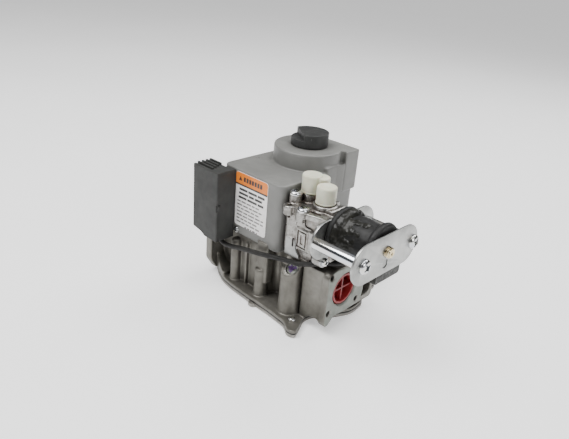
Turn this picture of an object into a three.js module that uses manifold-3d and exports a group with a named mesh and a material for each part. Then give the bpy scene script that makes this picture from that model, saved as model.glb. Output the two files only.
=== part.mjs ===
// Two-stage gas valve for a residential furnace, as separate named pieces.
// Units: millimetres, +Z up. Origin: centre of the base plate's underside.
// +X points downstream (outlet), -Y is the label side.
import * as THREE from 'three';
import { mergeVertices } from 'three/addons/utils/BufferGeometryUtils.js';
import Module from 'manifold-3d';

const wasm = await Module();
wasm.setup();

// ---------------------------------------------------------------- dimensions
const PLATE_TOP = 2.4;            // base plate thickness
const RIM_BOTTOM = 3.2;           // top of the rubber diaphragm sheet
const RIM_TOP = 5.6;              // top of the cast rim
const DECK = 44.8;                // top of the cast body
const SIDE = 24;                  // segments of a fine round
const FLANGE_X = 56.1;            // outlet face
const INLET_X = -62;              // inlet face
const BORE = { r: 12.2, y: -18.3, z: 30.6 };        // 3/4 in pipe thread bore, outlet
const INLET = { r: 12.2, y: -14, z: 27.5 };         // 3/4 in pipe thread bore, inlet
const COVER = { x0: -48.7, x1: 11, y: 39.8, z1: 94.8, wall: 2 };
const TOWER = { x: -16.2, y: 14.8, r: 26, z1: 107.6, shelf: 99 };
const KNOB = { r: 13.9, z0: 108, rise: 10, skirt: 5.3, flat: 7.2, turn: -124.3 };
const CONN = { x0: -61.6, x1: -34.6, y0: -57, y1: -40, z0: 40.6, z1: 92.6 };
const LABEL = { x0: -34.1, x1: -2, z0: 52, z1: 93.2, t: 0.4 };
const COIL = { y: -33, z: 80.2 };                   // two-stage solenoid axis, along X
const REAR_PLATE = { x0: 55.1, x1: 56.6, y0: -60.1, y1: 2.8, z0: 64.2, z1: 90.2 };
const FRONT_PLATE = { x0: 90.9, x1: 92.4, y0: -67, y1: -0.8, z0: 65.6, z1: 91.8 };
const TUBE = { r: 3.95, y: [-56.6, -6.2], z: 78.7 };
const PLATE_SCREW = { y: -45.9, z: 61.6 };
const CAP_LOW = { x: 19.2, y: -20.2, z0: 90.6, z1: 103.2, r: 7 };
const CAP_HIGH = { x: 35, y: -23.6, z0: 88.5, z1: 100.4, r: 6.8 };
const FIRST_VALVE = { x: -24, y: -14 };             // safety shut-off operator axis
const MAIN_VALVE = { x: 12, y: -6 };                // diaphragm-operated valve axis
const LEAD_R = 1.75;
const FLANGE_PITCH = { y: 30.4, z: 27.6 };           // outlet flange screw holes
const TAP = { x: 25.6, y: -39.8, z: 40.9, tilt: 0.72, r: 4.4 };   // sloped face of the pressure tap
const LUG_SCREW = { x: 34.6, y: -45.2 };
const BASE_SCREWS = [[-50, -34], [-12, -44.3], [37.6, 42.6], [-20, 44.3], [-57, 30]];

// ---------------------------------------------------------------- materials
const paint = (color, roughness, metalness) => ({ color, roughness, metalness });
const CAST = paint(0x8c877d, 0.55, 0.85);
const ZINC = paint(0xb4b2ab, 0.35, 0.9);
const GREY_PAINT = paint(0x85847f, 0.5, 0.15);
const CHARCOAL = paint(0x454643, 0.6, 0);
const BLACK = paint(0x1c1c1c, 0.35, 0);
const STEEL = paint(0xc6c8c6, 0.3, 1);
const BRIGHT = paint(0xdcdedd, 0.15, 1);
const BRASS = paint(0xb79a5c, 0.3, 1);
const COPPER = paint(0x9c5a33, 0.35, 1);
const RUBBER = paint(0x2a2928, 0.8, 0);
const IVORY = paint(0xd9d9c8, 0.5, 0);
const RED = paint(0xa81c1a, 0.45, 0);
const PAPER = paint(0xe9e6e0, 0.6, 0);

// ---------------------------------------------------------------- solid helpers
function solid(geometry) {
  geometry.deleteAttribute('normal');
  geometry.deleteAttribute('uv');
  const welded = mergeVertices(geometry, 1e-4);
  const index = Uint32Array.from(welded.index.array);
  const at = welded.attributes.position.array;
  const a = new THREE.Vector3();
  const b = new THREE.Vector3();
  const c = new THREE.Vector3();
  let volume = 0;
  for (let i = 0; i < index.length; i += 3) {
    a.fromArray(at, 3 * index[i]);
    b.fromArray(at, 3 * index[i + 1]);
    c.fromArray(at, 3 * index[i + 2]);
    volume += a.dot(b.cross(c));
  }
  for (let i = 0; volume < 0 && i < index.length; i += 3) {
    const first = index[i];
    index[i] = index[i + 1];
    index[i + 1] = first;
  }
  const mesh = new wasm.Mesh({ numProp: 3, vertProperties: Float32Array.from(at), triVerts: index });
  return new wasm.Manifold(mesh);
}

const join = (...parts) => parts.reduce((sum, part) => sum.add(part));
const cut = (body, ...tools) => tools.reduce((rest, tool) => rest.subtract(tool), body);

function box(x0, x1, y0, y1, z0, z1) {
  const g = new THREE.BoxGeometry(x1 - x0, y1 - y0, z1 - z0);
  return solid(g.translate((x0 + x1) / 2, (y0 + y1) / 2, (z0 + z1) / 2));
}

// closed outline with rounded corners; each point is [u, v, radius]
function outline(points) {
  const shape = new THREE.Shape();
  const n = points.length;
  points.forEach(([u, v, r = 0], i) => {
    const here = new THREE.Vector2(u, v);
    const toPrev = new THREE.Vector2(...points[(i + n - 1) % n]).sub(here);
    const toNext = new THREE.Vector2(...points[(i + 1) % n]).sub(here);
    const reach = Math.min(r, 0.49 * toPrev.length(), 0.49 * toNext.length());
    const enter = here.clone().addScaledVector(toPrev.normalize(), reach);
    const leave = here.clone().addScaledVector(toNext.normalize(), reach);
    if (i === 0) shape.moveTo(enter.x, enter.y);
    else shape.lineTo(enter.x, enter.y);
    if (reach > 0) shape.quadraticCurveTo(u, v, leave.x, leave.y);
  });
  shape.closePath();
  return shape;
}

const slab = (u0, u1, v0, v1, r) => outline([[u0, v0, r], [u1, v0, r], [u1, v1, r], [u0, v1, r]]);

function extrude(shape, length, bevel, curveSegments) {
  return new THREE.ExtrudeGeometry(shape, {
    depth: length - 2 * bevel,
    curveSegments,
    bevelEnabled: bevel > 0,
    bevelThickness: bevel,
    bevelSize: bevel,
    bevelOffset: -bevel,
    bevelSegments: 1,
  }).translate(0, 0, bevel);
}

// outlines drawn in XY, YZ and XZ, extruded along the remaining axis
function prismZ(shape, z0, z1, bevel = 0, curve = 5) {
  return solid(extrude(shape, z1 - z0, bevel, curve).translate(0, 0, z0));
}

function prismX(shape, x0, x1, bevel = 0, curve = 5) {
  const turn = new THREE.Matrix4().set(0, 0, 1, 0, 1, 0, 0, 0, 0, 1, 0, 0, 0, 0, 0, 1);
  return solid(extrude(shape, x1 - x0, bevel, curve).applyMatrix4(turn).translate(x0, 0, 0));
}

function prismY(shape, y0, y1, bevel = 0, curve = 5) {
  return solid(extrude(shape, y1 - y0, bevel, curve).rotateX(Math.PI / 2).translate(0, y1, 0));
}

// turned piece: profile of [radius, height] pairs from axis to axis
function turned(profile, segments = SIDE) {
  return new THREE.LatheGeometry(profile.map(([r, h]) => new THREE.Vector2(r, h)), segments);
}

function turnedZ(profile, x, y, z = 0, segments = SIDE) {
  return solid(turned(profile, segments).rotateX(Math.PI / 2).translate(x, y, z));
}

function turnedX(profile, x, y, z, segments = SIDE) {
  return solid(turned(profile, segments).rotateZ(-Math.PI / 2).translate(x, y, z));
}

const rod = (r, h0, h1) => [[0, h0], [r, h0], [r, h1], [0, h1]];
const ring = (r0, r1, h0, h1) => [[r0, h0], [r1, h0], [r1, h1], [r0, h1], [r0, h0]];
const cylZ = (r, z0, z1, x, y, n = SIDE) => turnedZ(rod(r, z0, z1), x, y, 0, n);
const cylX = (r, x0, x1, y, z, n = SIDE) => turnedX(rod(r, x0, x1), 0, y, z, n);
const cylY = (r, y0, y1, x, z, n = SIDE) =>
  solid(turned(rod(r, y0, y1), n).translate(x, 0, z));

// helical spring as a swept round wire along Z
function spring(radius, wire, turns, z0, z1, x, y) {
  const steps = Math.round(turns * 8);
  const points = [];
  for (let i = 0; i <= steps; i += 1) {
    const angle = (2 * Math.PI * turns * i) / steps;
    const z = z0 + wire + ((z1 - z0 - 2 * wire) * i) / steps;
    points.push(new THREE.Vector3(x + radius * Math.cos(angle), y + radius * Math.sin(angle), z));
  }
  return sweep(points, wire, 5, steps);
}

function sweep(points, radius, sides, steps) {
  const section = new THREE.Shape();
  for (let i = 0; i < sides; i += 1) {
    const angle = (2 * Math.PI * i) / sides;
    const method = i === 0 ? 'moveTo' : 'lineTo';
    section[method](radius * Math.cos(angle), radius * Math.sin(angle));
  }
  section.closePath();
  const path = new THREE.CatmullRomCurve3(points, false, 'centripetal');
  return solid(new THREE.ExtrudeGeometry(section, { extrudePath: path, steps, bevelEnabled: false }));
}

const group = new THREE.Group();
group.name = 'gas_valve';

function piece(name, body, look) {
  const { vertProperties, triVerts } = body.getMesh();
  const geometry = new THREE.BufferGeometry();
  geometry.setAttribute('position', new THREE.BufferAttribute(Float32Array.from(vertProperties), 3));
  geometry.setIndex(new THREE.BufferAttribute(Uint32Array.from(triVerts), 1));
  geometry.computeVertexNormals();
  const mesh = new THREE.Mesh(geometry, new THREE.MeshStandardMaterial(look));
  mesh.name = name;
  group.add(mesh);
}

// pan-head screw along Z pointing down, slot or cross recess on top
function panScrewZ(headR, headH, shankR, length, x, y, z) {
  const profile = [
    [0, -length], [shankR, -length], [shankR, 0], [headR, 0], [headR, headH * 0.45],
    [headR * 0.72, headH * 0.9], [headR * 0.35, headH], [0, headH],
  ];
  const w = headR * 0.16;
  const a = box(x - headR * 0.6, x + headR * 0.6, y - w, y + w, z + headH * 0.45, z + headH + 1);
  const b = box(x - w, x + w, y - headR * 0.6, y + headR * 0.6, z + headH * 0.45, z + headH + 1);
  return cut(turnedZ(profile, x, y, z, 16), a, b);
}

// pan-head screw along X, head towards +X
function panScrewX(headR, headH, shankR, length, x, y, z) {
  const profile = [
    [0, -length], [shankR, -length], [shankR, 0], [headR, 0], [headR, headH * 0.45],
    [headR * 0.72, headH * 0.9], [headR * 0.35, headH], [0, headH],
  ];
  const w = headR * 0.16;
  const a = box(x + headH * 0.45, x + headH + 1, y - headR * 0.6, y + headR * 0.6, z - w, z + w);
  const b = box(x + headH * 0.45, x + headH + 1, y - w, y + w, z - headR * 0.6, z + headR * 0.6);
  return cut(turnedX(profile, x, y, z, 16), a, b);
}

// ---------------------------------------------------------------- base and body
const RIM_OUTLINE = [
  [-62, -24, 6], [-61.4, -32.7, 4], [-50.7, -39.8, 4], [-39.5, -44.8, 5], [-28.3, -46.9, 5],
  [-4.3, -48.4, 4], [12, -48.7, 4], [32, -50.4, 4], [39.8, -56, 3], [46, -54, 3], [40.6, -42.3, 3],
  [36.6, -35, 5], [37.8, -26, 5], [43.6, -22.4, 4], [48, -12, 5], [53, -1, 7], [50.6, 16, 6],
  [43.4, 23, 5], [42, 30, 5], [42, 47, 7], [-60, 48.6, 12], [-62, 20, 6],
];
const screwHoles = (r, z0, z1) => BASE_SCREWS.map(([x, y]) => cylZ(r, z0, z1, x, y, 12));

const basePlate = cut(
  join(prismZ(outline(RIM_OUTLINE), 0, PLATE_TOP, 0.5, 3), cylZ(3.6, 0, PLATE_TOP, -2, -47.6, 24)),
  cylZ(21, 1.2, 3, MAIN_VALVE.x, MAIN_VALVE.y),
  ...screwHoles(1.9, -1, 5),
  ...BASE_SCREWS.map(([x, y]) => cylZ(3.6, -1, 1.3, x, y, 16)),
  cylZ(1.9, -1, 5, LUG_SCREW.x, LUG_SCREW.y, 16),
);
piece('base_plate', basePlate, ZINC);
BASE_SCREWS.forEach(([x, y], i) => {
  const screw = cut(
    turnedZ([[0, 0.2], [3.2, 0.2], [3.2, 1.2], [1.6, 1.2], [1.6, 5.2], [0, 5.2]], x, y, 0, 16),
    box(x - 2.2, x + 2.2, y - 0.4, y + 0.4, -1, 0.7),
  );
  piece(`base_screw_${i + 1}`, screw, STEEL);
});
piece('diaphragm_sheet', cut(
  prismZ(outline(RIM_OUTLINE), PLATE_TOP, RIM_BOTTOM, 0, 3),
  ...screwHoles(1.9, 0, 5),
  cylZ(1.9, 0, 5, LUG_SCREW.x, LUG_SCREW.y, 16),
), RUBBER);
piece('lug_screw', panScrewZ(2.6, 1.9, 1.6, 5.2, LUG_SCREW.x, LUG_SCREW.y, RIM_TOP), BRIGHT);

const block = prismZ(outline([
  [-56, -30.5, 1], [-38, -30.5, 4], [-34, -36.8, 2], [-1, -36.8, 2],
  [1.5, -28, 4], [15, -28, 4], [17, -34, 2], [30, -34, 2], [37, -34, 1],
  [37, 38, 6], [-56, 38, 8],
]), RIM_TOP, DECK, 0, 4);
const sweepWall = cut(
  prismZ(outline(RIM_OUTLINE), RIM_TOP - 0.4, 25, 0, 3).intersect(box(-60, -41, -46, -29, 5, 25)),
  cylY(16.5, -50, -25, -40.5, 24.9, 32),
);
const rib = (x, y, r, z1) => turnedZ([[0, 0], [r + 0.5, 0], [r, 4], [r, z1 - r], [r * 0.7, z1 - 0.3 * r],
  [0, z1]], x, y, RIM_TOP - 0.2, 18);
// pressure tap: boss cut off at a slope, with the plug square to the slope
const onTap = (body) => body.rotate([(TAP.tilt * 180) / Math.PI, 0, 0]).translate([TAP.x, TAP.y, TAP.z]);
const bigBoss = cut(
  turnedZ([[0, 0], [8.6, 0], [8, 3], [7.8, DECK - RIM_TOP], [0, DECK - RIM_TOP]], TAP.x - 1.8, -37.4,
    RIM_TOP - 0.2, 32),
  onTap(box(-20, 20, -20, 20, 0, 20)),
);
const flangeOutline = outline([
  [-37.4, 9, 3], [-34.6, 5.6, 3.5], [-30.8, 7.6, 3], [-27, 12.2, 4], [-17, 11.2, 4], [-6, 11.6, 4],
  [2, 12.4, 3], [4.5, 19, 4], [3.2, 47, 5], [-31, 49, 6], [-37.4, 46, 5], [-37, 22, 3],
]);
const neck = join(
  prismY(outline([[33, RIM_TOP - 0.2], [37.5, RIM_TOP - 0.2], [44, 10.6, 4], [51, 9.2], [51, DECK - 1.5],
    [33, DECK - 1.5]]), -36.8, -33),
  box(33, 51, -34, 2, 12.6, DECK - 1.5),
  prismX(flangeOutline, 50.1, FLANGE_X, 0.6, 4),
  prismX(outline([[-2, 9.4, 2], [19.4, 9.4, 3], [19.4, 24, 3], [13.5, 28.6, 3], [-2, 30, 2]]), 34, 54),
);
const inletEnd = join(
  prismX(outline([[-43.8, 12.8, 2], [-38, 3.6, 1], [8, 3.6, 3], [8, 40.6, 3.5], [-43.8, 40.6, 3.5]]),
    INLET_X, -55.5, 0.6),
  cylX(16.4, -61.6, -40, INLET.y, INLET.z),
);
const rim = cut(
  prismZ(outline(RIM_OUTLINE), RIM_BOTTOM, RIM_TOP, 0.4, 3),
  ...screwHoles(1.85, 0, 5.3),
  cylZ(1.9, 0, 8, LUG_SCREW.x, LUG_SCREW.y, 16),
);
const backRibs = [-34, -14, 6, 26].map((x) => rib(x, 38, 3.6, DECK - RIM_TOP - 4));
const bodyMass = join(
  rim, block, neck, inletEnd, sweepWall, bigBoss,
  rib(-32.4, -38.2, 4.1, 34),
  rib(-4, -39, 4.9, 22),
  box(-21.8, -19.6, -39.6, -33, RIM_TOP - 0.2, 40),
  box(-9.5, 4.4, -40.6, -33, 31, DECK),
  ...backRibs,
);
const passages = [
  cylX(INLET.r, INLET_X - 1, -30, INLET.y, INLET.z),
  cylX(BORE.r, 19.5, FLANGE_X + 1, BORE.y, BORE.z),
  cylZ(11.4, 38.5, DECK + 1, FIRST_VALVE.x, FIRST_VALVE.y, 20),
  cylZ(8, 14, 40, FIRST_VALVE.x, FIRST_VALVE.y, 20),
  cylZ(12, 18, DECK + 1, TOWER.x, TOWER.y),
  box(-40, -20, -18, 15, 19, 28),
  cylZ(20, RIM_BOTTOM - 1, 9, MAIN_VALVE.x, MAIN_VALVE.y),
  cylZ(9, 8, 14, MAIN_VALVE.x, MAIN_VALVE.y, 20),
  cylZ(14, 12, 30, MAIN_VALVE.x, MAIN_VALVE.y, 20),
  box(-18, 2, -6, 4, 5.8, 8.8),
  cylZ(5, 5.8, 20, TOWER.x, TOWER.y - 14),
];
const flangeHoles = [[-1, 1], [-1, -1], [1, -1], [1, 1]].map(([i, j]) =>
  cylX(2.1, 46, FLANGE_X + 1, BORE.y + i * FLANGE_PITCH.y / 2, BORE.z + j * FLANGE_PITCH.z / 2, 16));
const lobePocket = prismX(outline([
  [4.9, 13.6, 1], [14, 13.6, 2], [16.4, 17, 2], [16.4, 22.5, 2], [12, 26, 2], [4.9, 26.6, 1],
]), 46.5, 55);
const tapHole = onTap(cylZ(TAP.r + 0.3, -7.5, 5, 0, 0, 24));
piece('valve_body', cut(bodyMass, ...passages, ...flangeHoles, lobePocket, tapHole), CAST);

piece('pressure_tap_plug', onTap(cut(
  cylZ(TAP.r, -7.2, -0.5, 0, 0, 24),
  cylZ(2.2, -3.6, 1, 0, 0, 6),
)), STEEL);

// removable thread protectors with a moulded cross web
function threadPlug(faceX, inward, port) {
  const x0 = faceX - 0.9 * inward;
  const span = (a, b) => [x0 - a * inward, x0 - b * inward].sort((one, other) => one - other);
  const [c0, c1] = span(0, 13);
  const [p0, p1] = span(-1, 9.5);
  const [w0, w1] = span(1.6, 11);
  const cup = cut(cylX(port.r - 0.25, c0, c1, port.y, port.z), cylX(port.r - 1.9, p0, p1, port.y, port.z));
  const web = join(
    box(w0, w1, port.y - 0.7, port.y + 0.7, port.z - port.r + 1.2, port.z + port.r - 1.2),
    box(w0, w1, port.y - port.r + 1.2, port.y + port.r - 1.2, port.z - 0.7, port.z + 0.7),
  );
  return join(cup, web);
}
piece('outlet_plug', threadPlug(FLANGE_X, 1, BORE), RED);
piece('inlet_plug', threadPlug(INLET_X, -1, INLET), RED);

const screenHoles = [];
for (let ringIndex = 1; ringIndex <= 2; ringIndex += 1) {
  for (let i = 0; i < 6 * ringIndex; i += 1) {
    const angle = (2 * Math.PI * i) / (6 * ringIndex);
    const y = INLET.y + 4.4 * ringIndex * Math.cos(angle);
    const z = INLET.z + 4.4 * ringIndex * Math.sin(angle);
    screenHoles.push(cylX(1.7, -40, -30, y, z, 6));
  }
}
piece('inlet_screen', cut(cylX(INLET.r - 0.1, -36.6, -35.8, INLET.y, INLET.z), ...screenHoles), STEEL);

// ---------------------------------------------------------------- diaphragm-operated main valve
const mv = MAIN_VALVE;
piece('main_poppet', turnedZ([
  [0, 3.5], [16, 3.5], [16, 4.7], [2.5, 5.3], [2.5, 12.3], [11, 12.3], [11, 13.8], [3, 14.6], [3, 15.6],
  [0, 15.6],
], mv.x, mv.y, 0), ZINC);
piece('main_spring', spring(6.2, 0.55, 5, 14.7, 29.6, mv.x, mv.y), STEEL);

// ---------------------------------------------------------------- safety shut-off operator
const fv = FIRST_VALVE;
piece('deck_plate', cut(
  prismZ(slab(-46, 8.4, -37, 37, 6), DECK, DECK + 1.6),
  cylZ(6.1, 40, 50, fv.x, fv.y, 32),
  cylZ(4.2, 40, 50, TOWER.x, TOWER.y, 32),
), STEEL);
piece('shutoff_plunger', turnedZ([
  [0, 38.2], [2.2, 38.2], [2.2, 41], [4.9, 42], [4.9, 66], [0, 66],
], fv.x, fv.y, 0, 32), STEEL);
piece('shutoff_disc', turnedZ(ring(2.5, 10.2, 38.8, 40.6), fv.x, fv.y), RUBBER);
piece('shutoff_guide_tube', turnedZ([
  [5.3, DECK + 0.3], [6, DECK + 0.3], [6, 80], [0, 80], [0, 72], [5.3, 72], [5.3, DECK + 0.3],
], fv.x, fv.y, 0), STEEL);
piece('shutoff_bobbin', turnedZ([
  [6.1, 48.4], [13, 48.4], [13, 49.8], [7.2, 49.8], [7.2, 76.2], [13, 76.2], [13, 77.6], [6.1, 77.6],
  [6.1, 48.4],
], fv.x, fv.y, 0), BLACK);
piece('shutoff_coil', turnedZ(ring(7.25, 12.4, 49.9, 76.1), fv.x, fv.y, 0), COPPER);
piece('shutoff_yoke', cut(
  box(fv.x - 16, fv.x + 16, fv.y - 9, fv.y + 9, DECK + 1.6, 79.8),
  box(fv.x - 13.6, fv.x + 13.6, fv.y - 10, fv.y + 10, DECK + 3.4, 77.8),
  cylZ(6.15, 40, 85, fv.x, fv.y, 32),
), STEEL);
piece('shutoff_spring', spring(3.4, 0.45, 4, 66.2, 71.8, fv.x, fv.y), STEEL);

// ---------------------------------------------------------------- cover, knob and manual valve
const c = COVER;
const coverPlan = (inset) => slab(c.x0 + inset, c.x1 - inset, -c.y + inset, c.y - inset, 6 - inset);
const towerBlock = (inset) => slab(TOWER.x, c.x1 + 1.4 - inset, 24 + inset, c.y - inset, 1.5);
const towerDisc = (r, z0, z1, edge) => turnedZ([
  [0, z0], [r, z0], [r, z1 - edge], [r - edge, z1], [0, z1],
], TOWER.x, TOWER.y, 0, 56);
const discBound = (inset) => box(-60, c.x1 - inset, -20, c.y - inset, 80, 120);
const coverOuter = join(
  prismZ(coverPlan(0), DECK + 0.05, c.z1, 1, 5),
  towerDisc(TOWER.r, c.z1 - 4, TOWER.z1, 0.8).intersect(discBound(0)),
  prismZ(towerBlock(0), c.z1 - 18, TOWER.z1, 0.5, 3),
  prismZ(slab(-8, c.x1, 5, 30, 2), c.z1 - 4, TOWER.shelf, 0.5, 3),
);
const coverInner = join(
  prismZ(coverPlan(c.wall), DECK - 1, c.z1 - c.wall),
  towerDisc(TOWER.r - c.wall, 90, TOWER.z1 - c.wall, 0.5).intersect(discBound(c.wall)),
);
piece('cover_housing', cut(
  coverOuter,
  coverInner,
  cylZ(4.4, 100, 112, TOWER.x, TOWER.y, 32),
  cylZ(1.6, 94.1, 97, -41.4, -12.6, 16),
  cylY(1.7, -45, -37, -31.4, 47.6, 16),
), GREY_PAINT);
piece('cover_screw', cut(
  solid(turned([[0, -1.7], [1.1, -1.7], [2.4, -0.6], [2.4, 0], [1.5, 0], [1.5, 2.4], [0, 2.4]], 20)
    .translate(-31.4, -c.y, 47.6)),
  box(-33.2, -29.6, -42, -40.7, 47.2, 48),
), BRIGHT);

// knob: a round button with one flat side above the skirt
const knobBody = cut(
  turnedZ([[0, 0], [KNOB.r, 0], [KNOB.r, KNOB.rise - 0.5], [KNOB.r - 0.5, KNOB.rise], [0, KNOB.rise]],
    TOWER.x, TOWER.y, KNOB.z0, 48),
  box(KNOB.flat, 30, -20, 20, KNOB.skirt, 30).rotate([0, 0, KNOB.turn])
    .translate([TOWER.x, TOWER.y, KNOB.z0]),
  cut(cylZ(3.2, KNOB.z0 - 1, KNOB.z0 + 7.4, TOWER.x, TOWER.y, 24),
    box(TOWER.x - 5, TOWER.x + 5, TOWER.y + 2, TOWER.y + 6, 100, 130)),
);
piece('knob', knobBody, CHARCOAL);
piece('knob_stem', cut(
  cylZ(3, 27.2, KNOB.z0 + 7.1, TOWER.x, TOWER.y, 24),
  box(TOWER.x - 5, TOWER.x + 5, TOWER.y + 1.8, TOWER.y + 6, KNOB.z0 - 1, 130),
), STEEL);
const manualPlug = cut(
  turnedZ([[0, 18.6], [10.6, 18.6], [11.6, 40], [0, 40]], TOWER.x, TOWER.y, 0),
  box(TOWER.x - 13, TOWER.x + 13, TOWER.y - 5, TOWER.y + 5, 19.4, 26.8),
  cylZ(3.05, 27, 42, TOWER.x, TOWER.y, 24),
);
piece('manual_valve_plug', manualPlug, BRASS);

// ---------------------------------------------------------------- connector and label
const k = CONN;
const finZ = k.z1 + 2;
const fins = [0, 1, 2, 3].map((i) => box(k.x0, k.x0 + 17 - 1.5 * i, k.y0 + 3.6 + 3.6 * i, k.y0 + 5.2 + 3.6 * i,
  k.z1 - 0.5, finZ));
const connector = cut(
  join(
    prismZ(slab(k.x0, k.x1, k.y0, k.y1, 0.8), k.z0, k.z1, 0.5),
    prismZ(slab(k.x0, k.x1, k.y0, k.y0 + 2.4, 0.6), k.z1 - 2, finZ - 0.8, 0.4),
    box(k.x1 - 9, k.x1 - 0.3, k.y0 + 0.4, k.y1, k.z1 - 1, finZ - 0.8),
    ...fins,
  ),
  box(k.x0 - 1, k.x0 + 13, k.y0 + 3, k.y1 - 3, k.z0 + 8, k.z1 - 6),
  box(k.x1 - 1.1, k.x1 + 1, k.y0 - 1, k.y0 + 1.6, 64, 70),
  prismY(outline([[k.x0 - 1, 40], [-46, 40], [-52, 43.6], [k.x0 - 1, 45.4]]), -60, -38),
  cylZ(LEAD_R + 0.25, k.z0 - 1, k.z0 + 6, -42.5, -46.4, 16),
);
piece('connector_housing', connector, CHARCOAL);
[54, 64, 74].forEach((z, i) => {
  piece(`terminal_${i + 1}`, box(k.x0 + 4, k.x0 + 13, -49.7, -46.7, z - 0.4, z + 0.4), BRASS);
});
piece('label_plate', prismY(slab(LABEL.x0, LABEL.x1, LABEL.z0, LABEL.z1, 2.5), -c.y - LABEL.t, -c.y), PAPER);

// ---------------------------------------------------------------- two-stage regulator
const regX0 = c.x1 + 0.4;
const regX1 = REAR_PLATE.x0;
const regulatorMass = join(
  prismZ(outline([[regX0 + 1, -35.5, 1.5], [24, -37.6, 1.5], [44, -37.6, 2], [regX1, -37.6, 0.5],
    [regX1, -14, 0.5], [44, -10, 2], [30, -10, 2], [30, 0, 2], [regX0 + 1, 0, 2]]), 49.4, 81.5),
  prismX(slab(-50.5, -15, 64.4, 86, 5), 49.5, regX1, 0.6),
  cylX(4, 49.5, regX1, PLATE_SCREW.y, PLATE_SCREW.z, 20),
  prismZ(slab(regX0 + 1.6, 31, -27.4, 0, 2), DECK, 50),
  prismZ(outline([[regX0 + 1, -30, 2], [14, -37.5, 3], [30, -41.6, 2], [43, -38, 3], [50, -38, 1],
    [50, -13, 2], [28, -10, 3], [regX0 + 1, -10, 2]]), 80.5, 84.6, 0.4),
  cylZ(4.3, 78.4, 85, 17.4, -38.6, 28),
  cylZ(5, 77.5, 84.8, 29.4, -38.4, 28),
  turnedZ([[0, 80], [8.6, 80], [8.6, 87.3], [8, 88.2], [0, 88.2]], CAP_HIGH.x, CAP_HIGH.y, 0),
  turnedZ([[0, 80], [6.8, 80], [6.8, 89.6], [6.2, 90.3], [0, 90.3]], CAP_LOW.x, CAP_LOW.y, 0),
  cylZ(4.2, 80, 90.4, 16, -31.8, 24),
  prismY(outline([[17.4, 49.4, 1], [30.6, 49.4, 1], [30.6, 52, 2], [27, 56, 3], [25.4, 63, 1],
    [17.4, 63, 1]]), -40.4, -36.5, 0.5),
  prismY(outline([[17.8, 60, 1], [22.4, 60, 1], [22.4, 80, 1], [15.8, 80, 1]]), -39.4, -36.5, 0.4),
  prismY(outline([[25.2, 56.4, 0.6], [36, 56.4, 0.6], [36, 71.6, 0.6], [25.2, 71.6, 0.6]]), -39, -36.5, 0.3),
  prismY(slab(37.4, 44.5, 58, 76, 0.8), -41, -36.5, 0.4),
);
const regulatorPockets = [
  prismY(slab(27.2, 34, 58.4, 69.6, 0.4), -42, -37.9),
  prismY(slab(31.5, 48.5, 72.4, 80, 2), -42, -30),
  prismY(slab(15, 24.6, 64.6, 78, 1), -37.1, -36.6),
  cylZ(1.7, 76, 90, 17.4, -38.6, 16),
  cylZ(4.6, 72, 93, CAP_LOW.x, CAP_LOW.y, 28),
  cylZ(4.6, 72, 93, CAP_HIGH.x, CAP_HIGH.y, 28),
  cylX(5, regX1 - 8, regX1 + 1, COIL.y, COIL.z),
  cylX(3, 40, regX1 + 1, COIL.y, COIL.z, 20),
  box(17, 34, -30, -14, 54, 60),
  cylZ(3, 59, 74, CAP_HIGH.x, CAP_HIGH.y, 20),
  cylZ(3, 59, 74, CAP_LOW.x, CAP_LOW.y, 20),
  cylX(1.7, 48, 58, PLATE_SCREW.y, PLATE_SCREW.z, 12),
  box(39.2, 56, -41.2, -14, 49, 57.6),
  cylZ(1.65, 76, 86, 29.4, -38.4, 16),
  cylZ(1.5, 82, 92, 16, -31.8, 16),
];
piece('regulator_body', cut(regulatorMass, ...regulatorPockets), ZINC);
piece('regulator_screw_front', panScrewZ(4.3, 2.6, 1.6, 7, 29.4, -38.4, 84.85), BRIGHT);
piece('regulator_screw_rear', panScrewZ(4.4, 2.6, 1.4, 6, 16, -31.8, 90.45), BRIGHT);

function adjuster(tag, cap) {
  const top = cap.z0 - 2.6;
  const screw = cut(
    cylZ(4.2, top - 5, top, cap.x, cap.y, 28),
    box(cap.x - 5, cap.x + 5, cap.y - 0.5, cap.y + 0.5, top - 1.4, top + 1),
  );
  piece(`adjust_screw_${tag}`, screw, BRASS);
  piece(`adjust_spring_${tag}`, spring(2.9, 0.45, 5, 72.3, top - 5.3, cap.x, cap.y), STEEL);
}
adjuster('low', CAP_LOW);
adjuster('high', CAP_HIGH);

function capShell(cap) {
  const h = cap.z1 - cap.z0;
  return turnedZ([
    [5.3, 0], [cap.r - 0.2, 0], [cap.r, 0.6], [cap.r, h - 1], [cap.r - 0.9, h], [0, h], [0, h - 1.6],
    [5.3, h - 1.6], [5.3, 0],
  ], cap.x, cap.y, cap.z0);
}
const lobe = turnedZ([[0, 0], [5.6, 0], [5.6, 8.2], [4.7, 9.2], [0, 9.2]], 24.4, -16.4, CAP_LOW.z0 + 2.4);
piece('cap_low', cut(
  join(capShell(CAP_LOW), lobe),
  cylZ(5.3, 80, CAP_LOW.z1 - 1.6, CAP_LOW.x, CAP_LOW.y),
), IVORY);
piece('cap_high', capShell(CAP_HIGH), IVORY);

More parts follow.
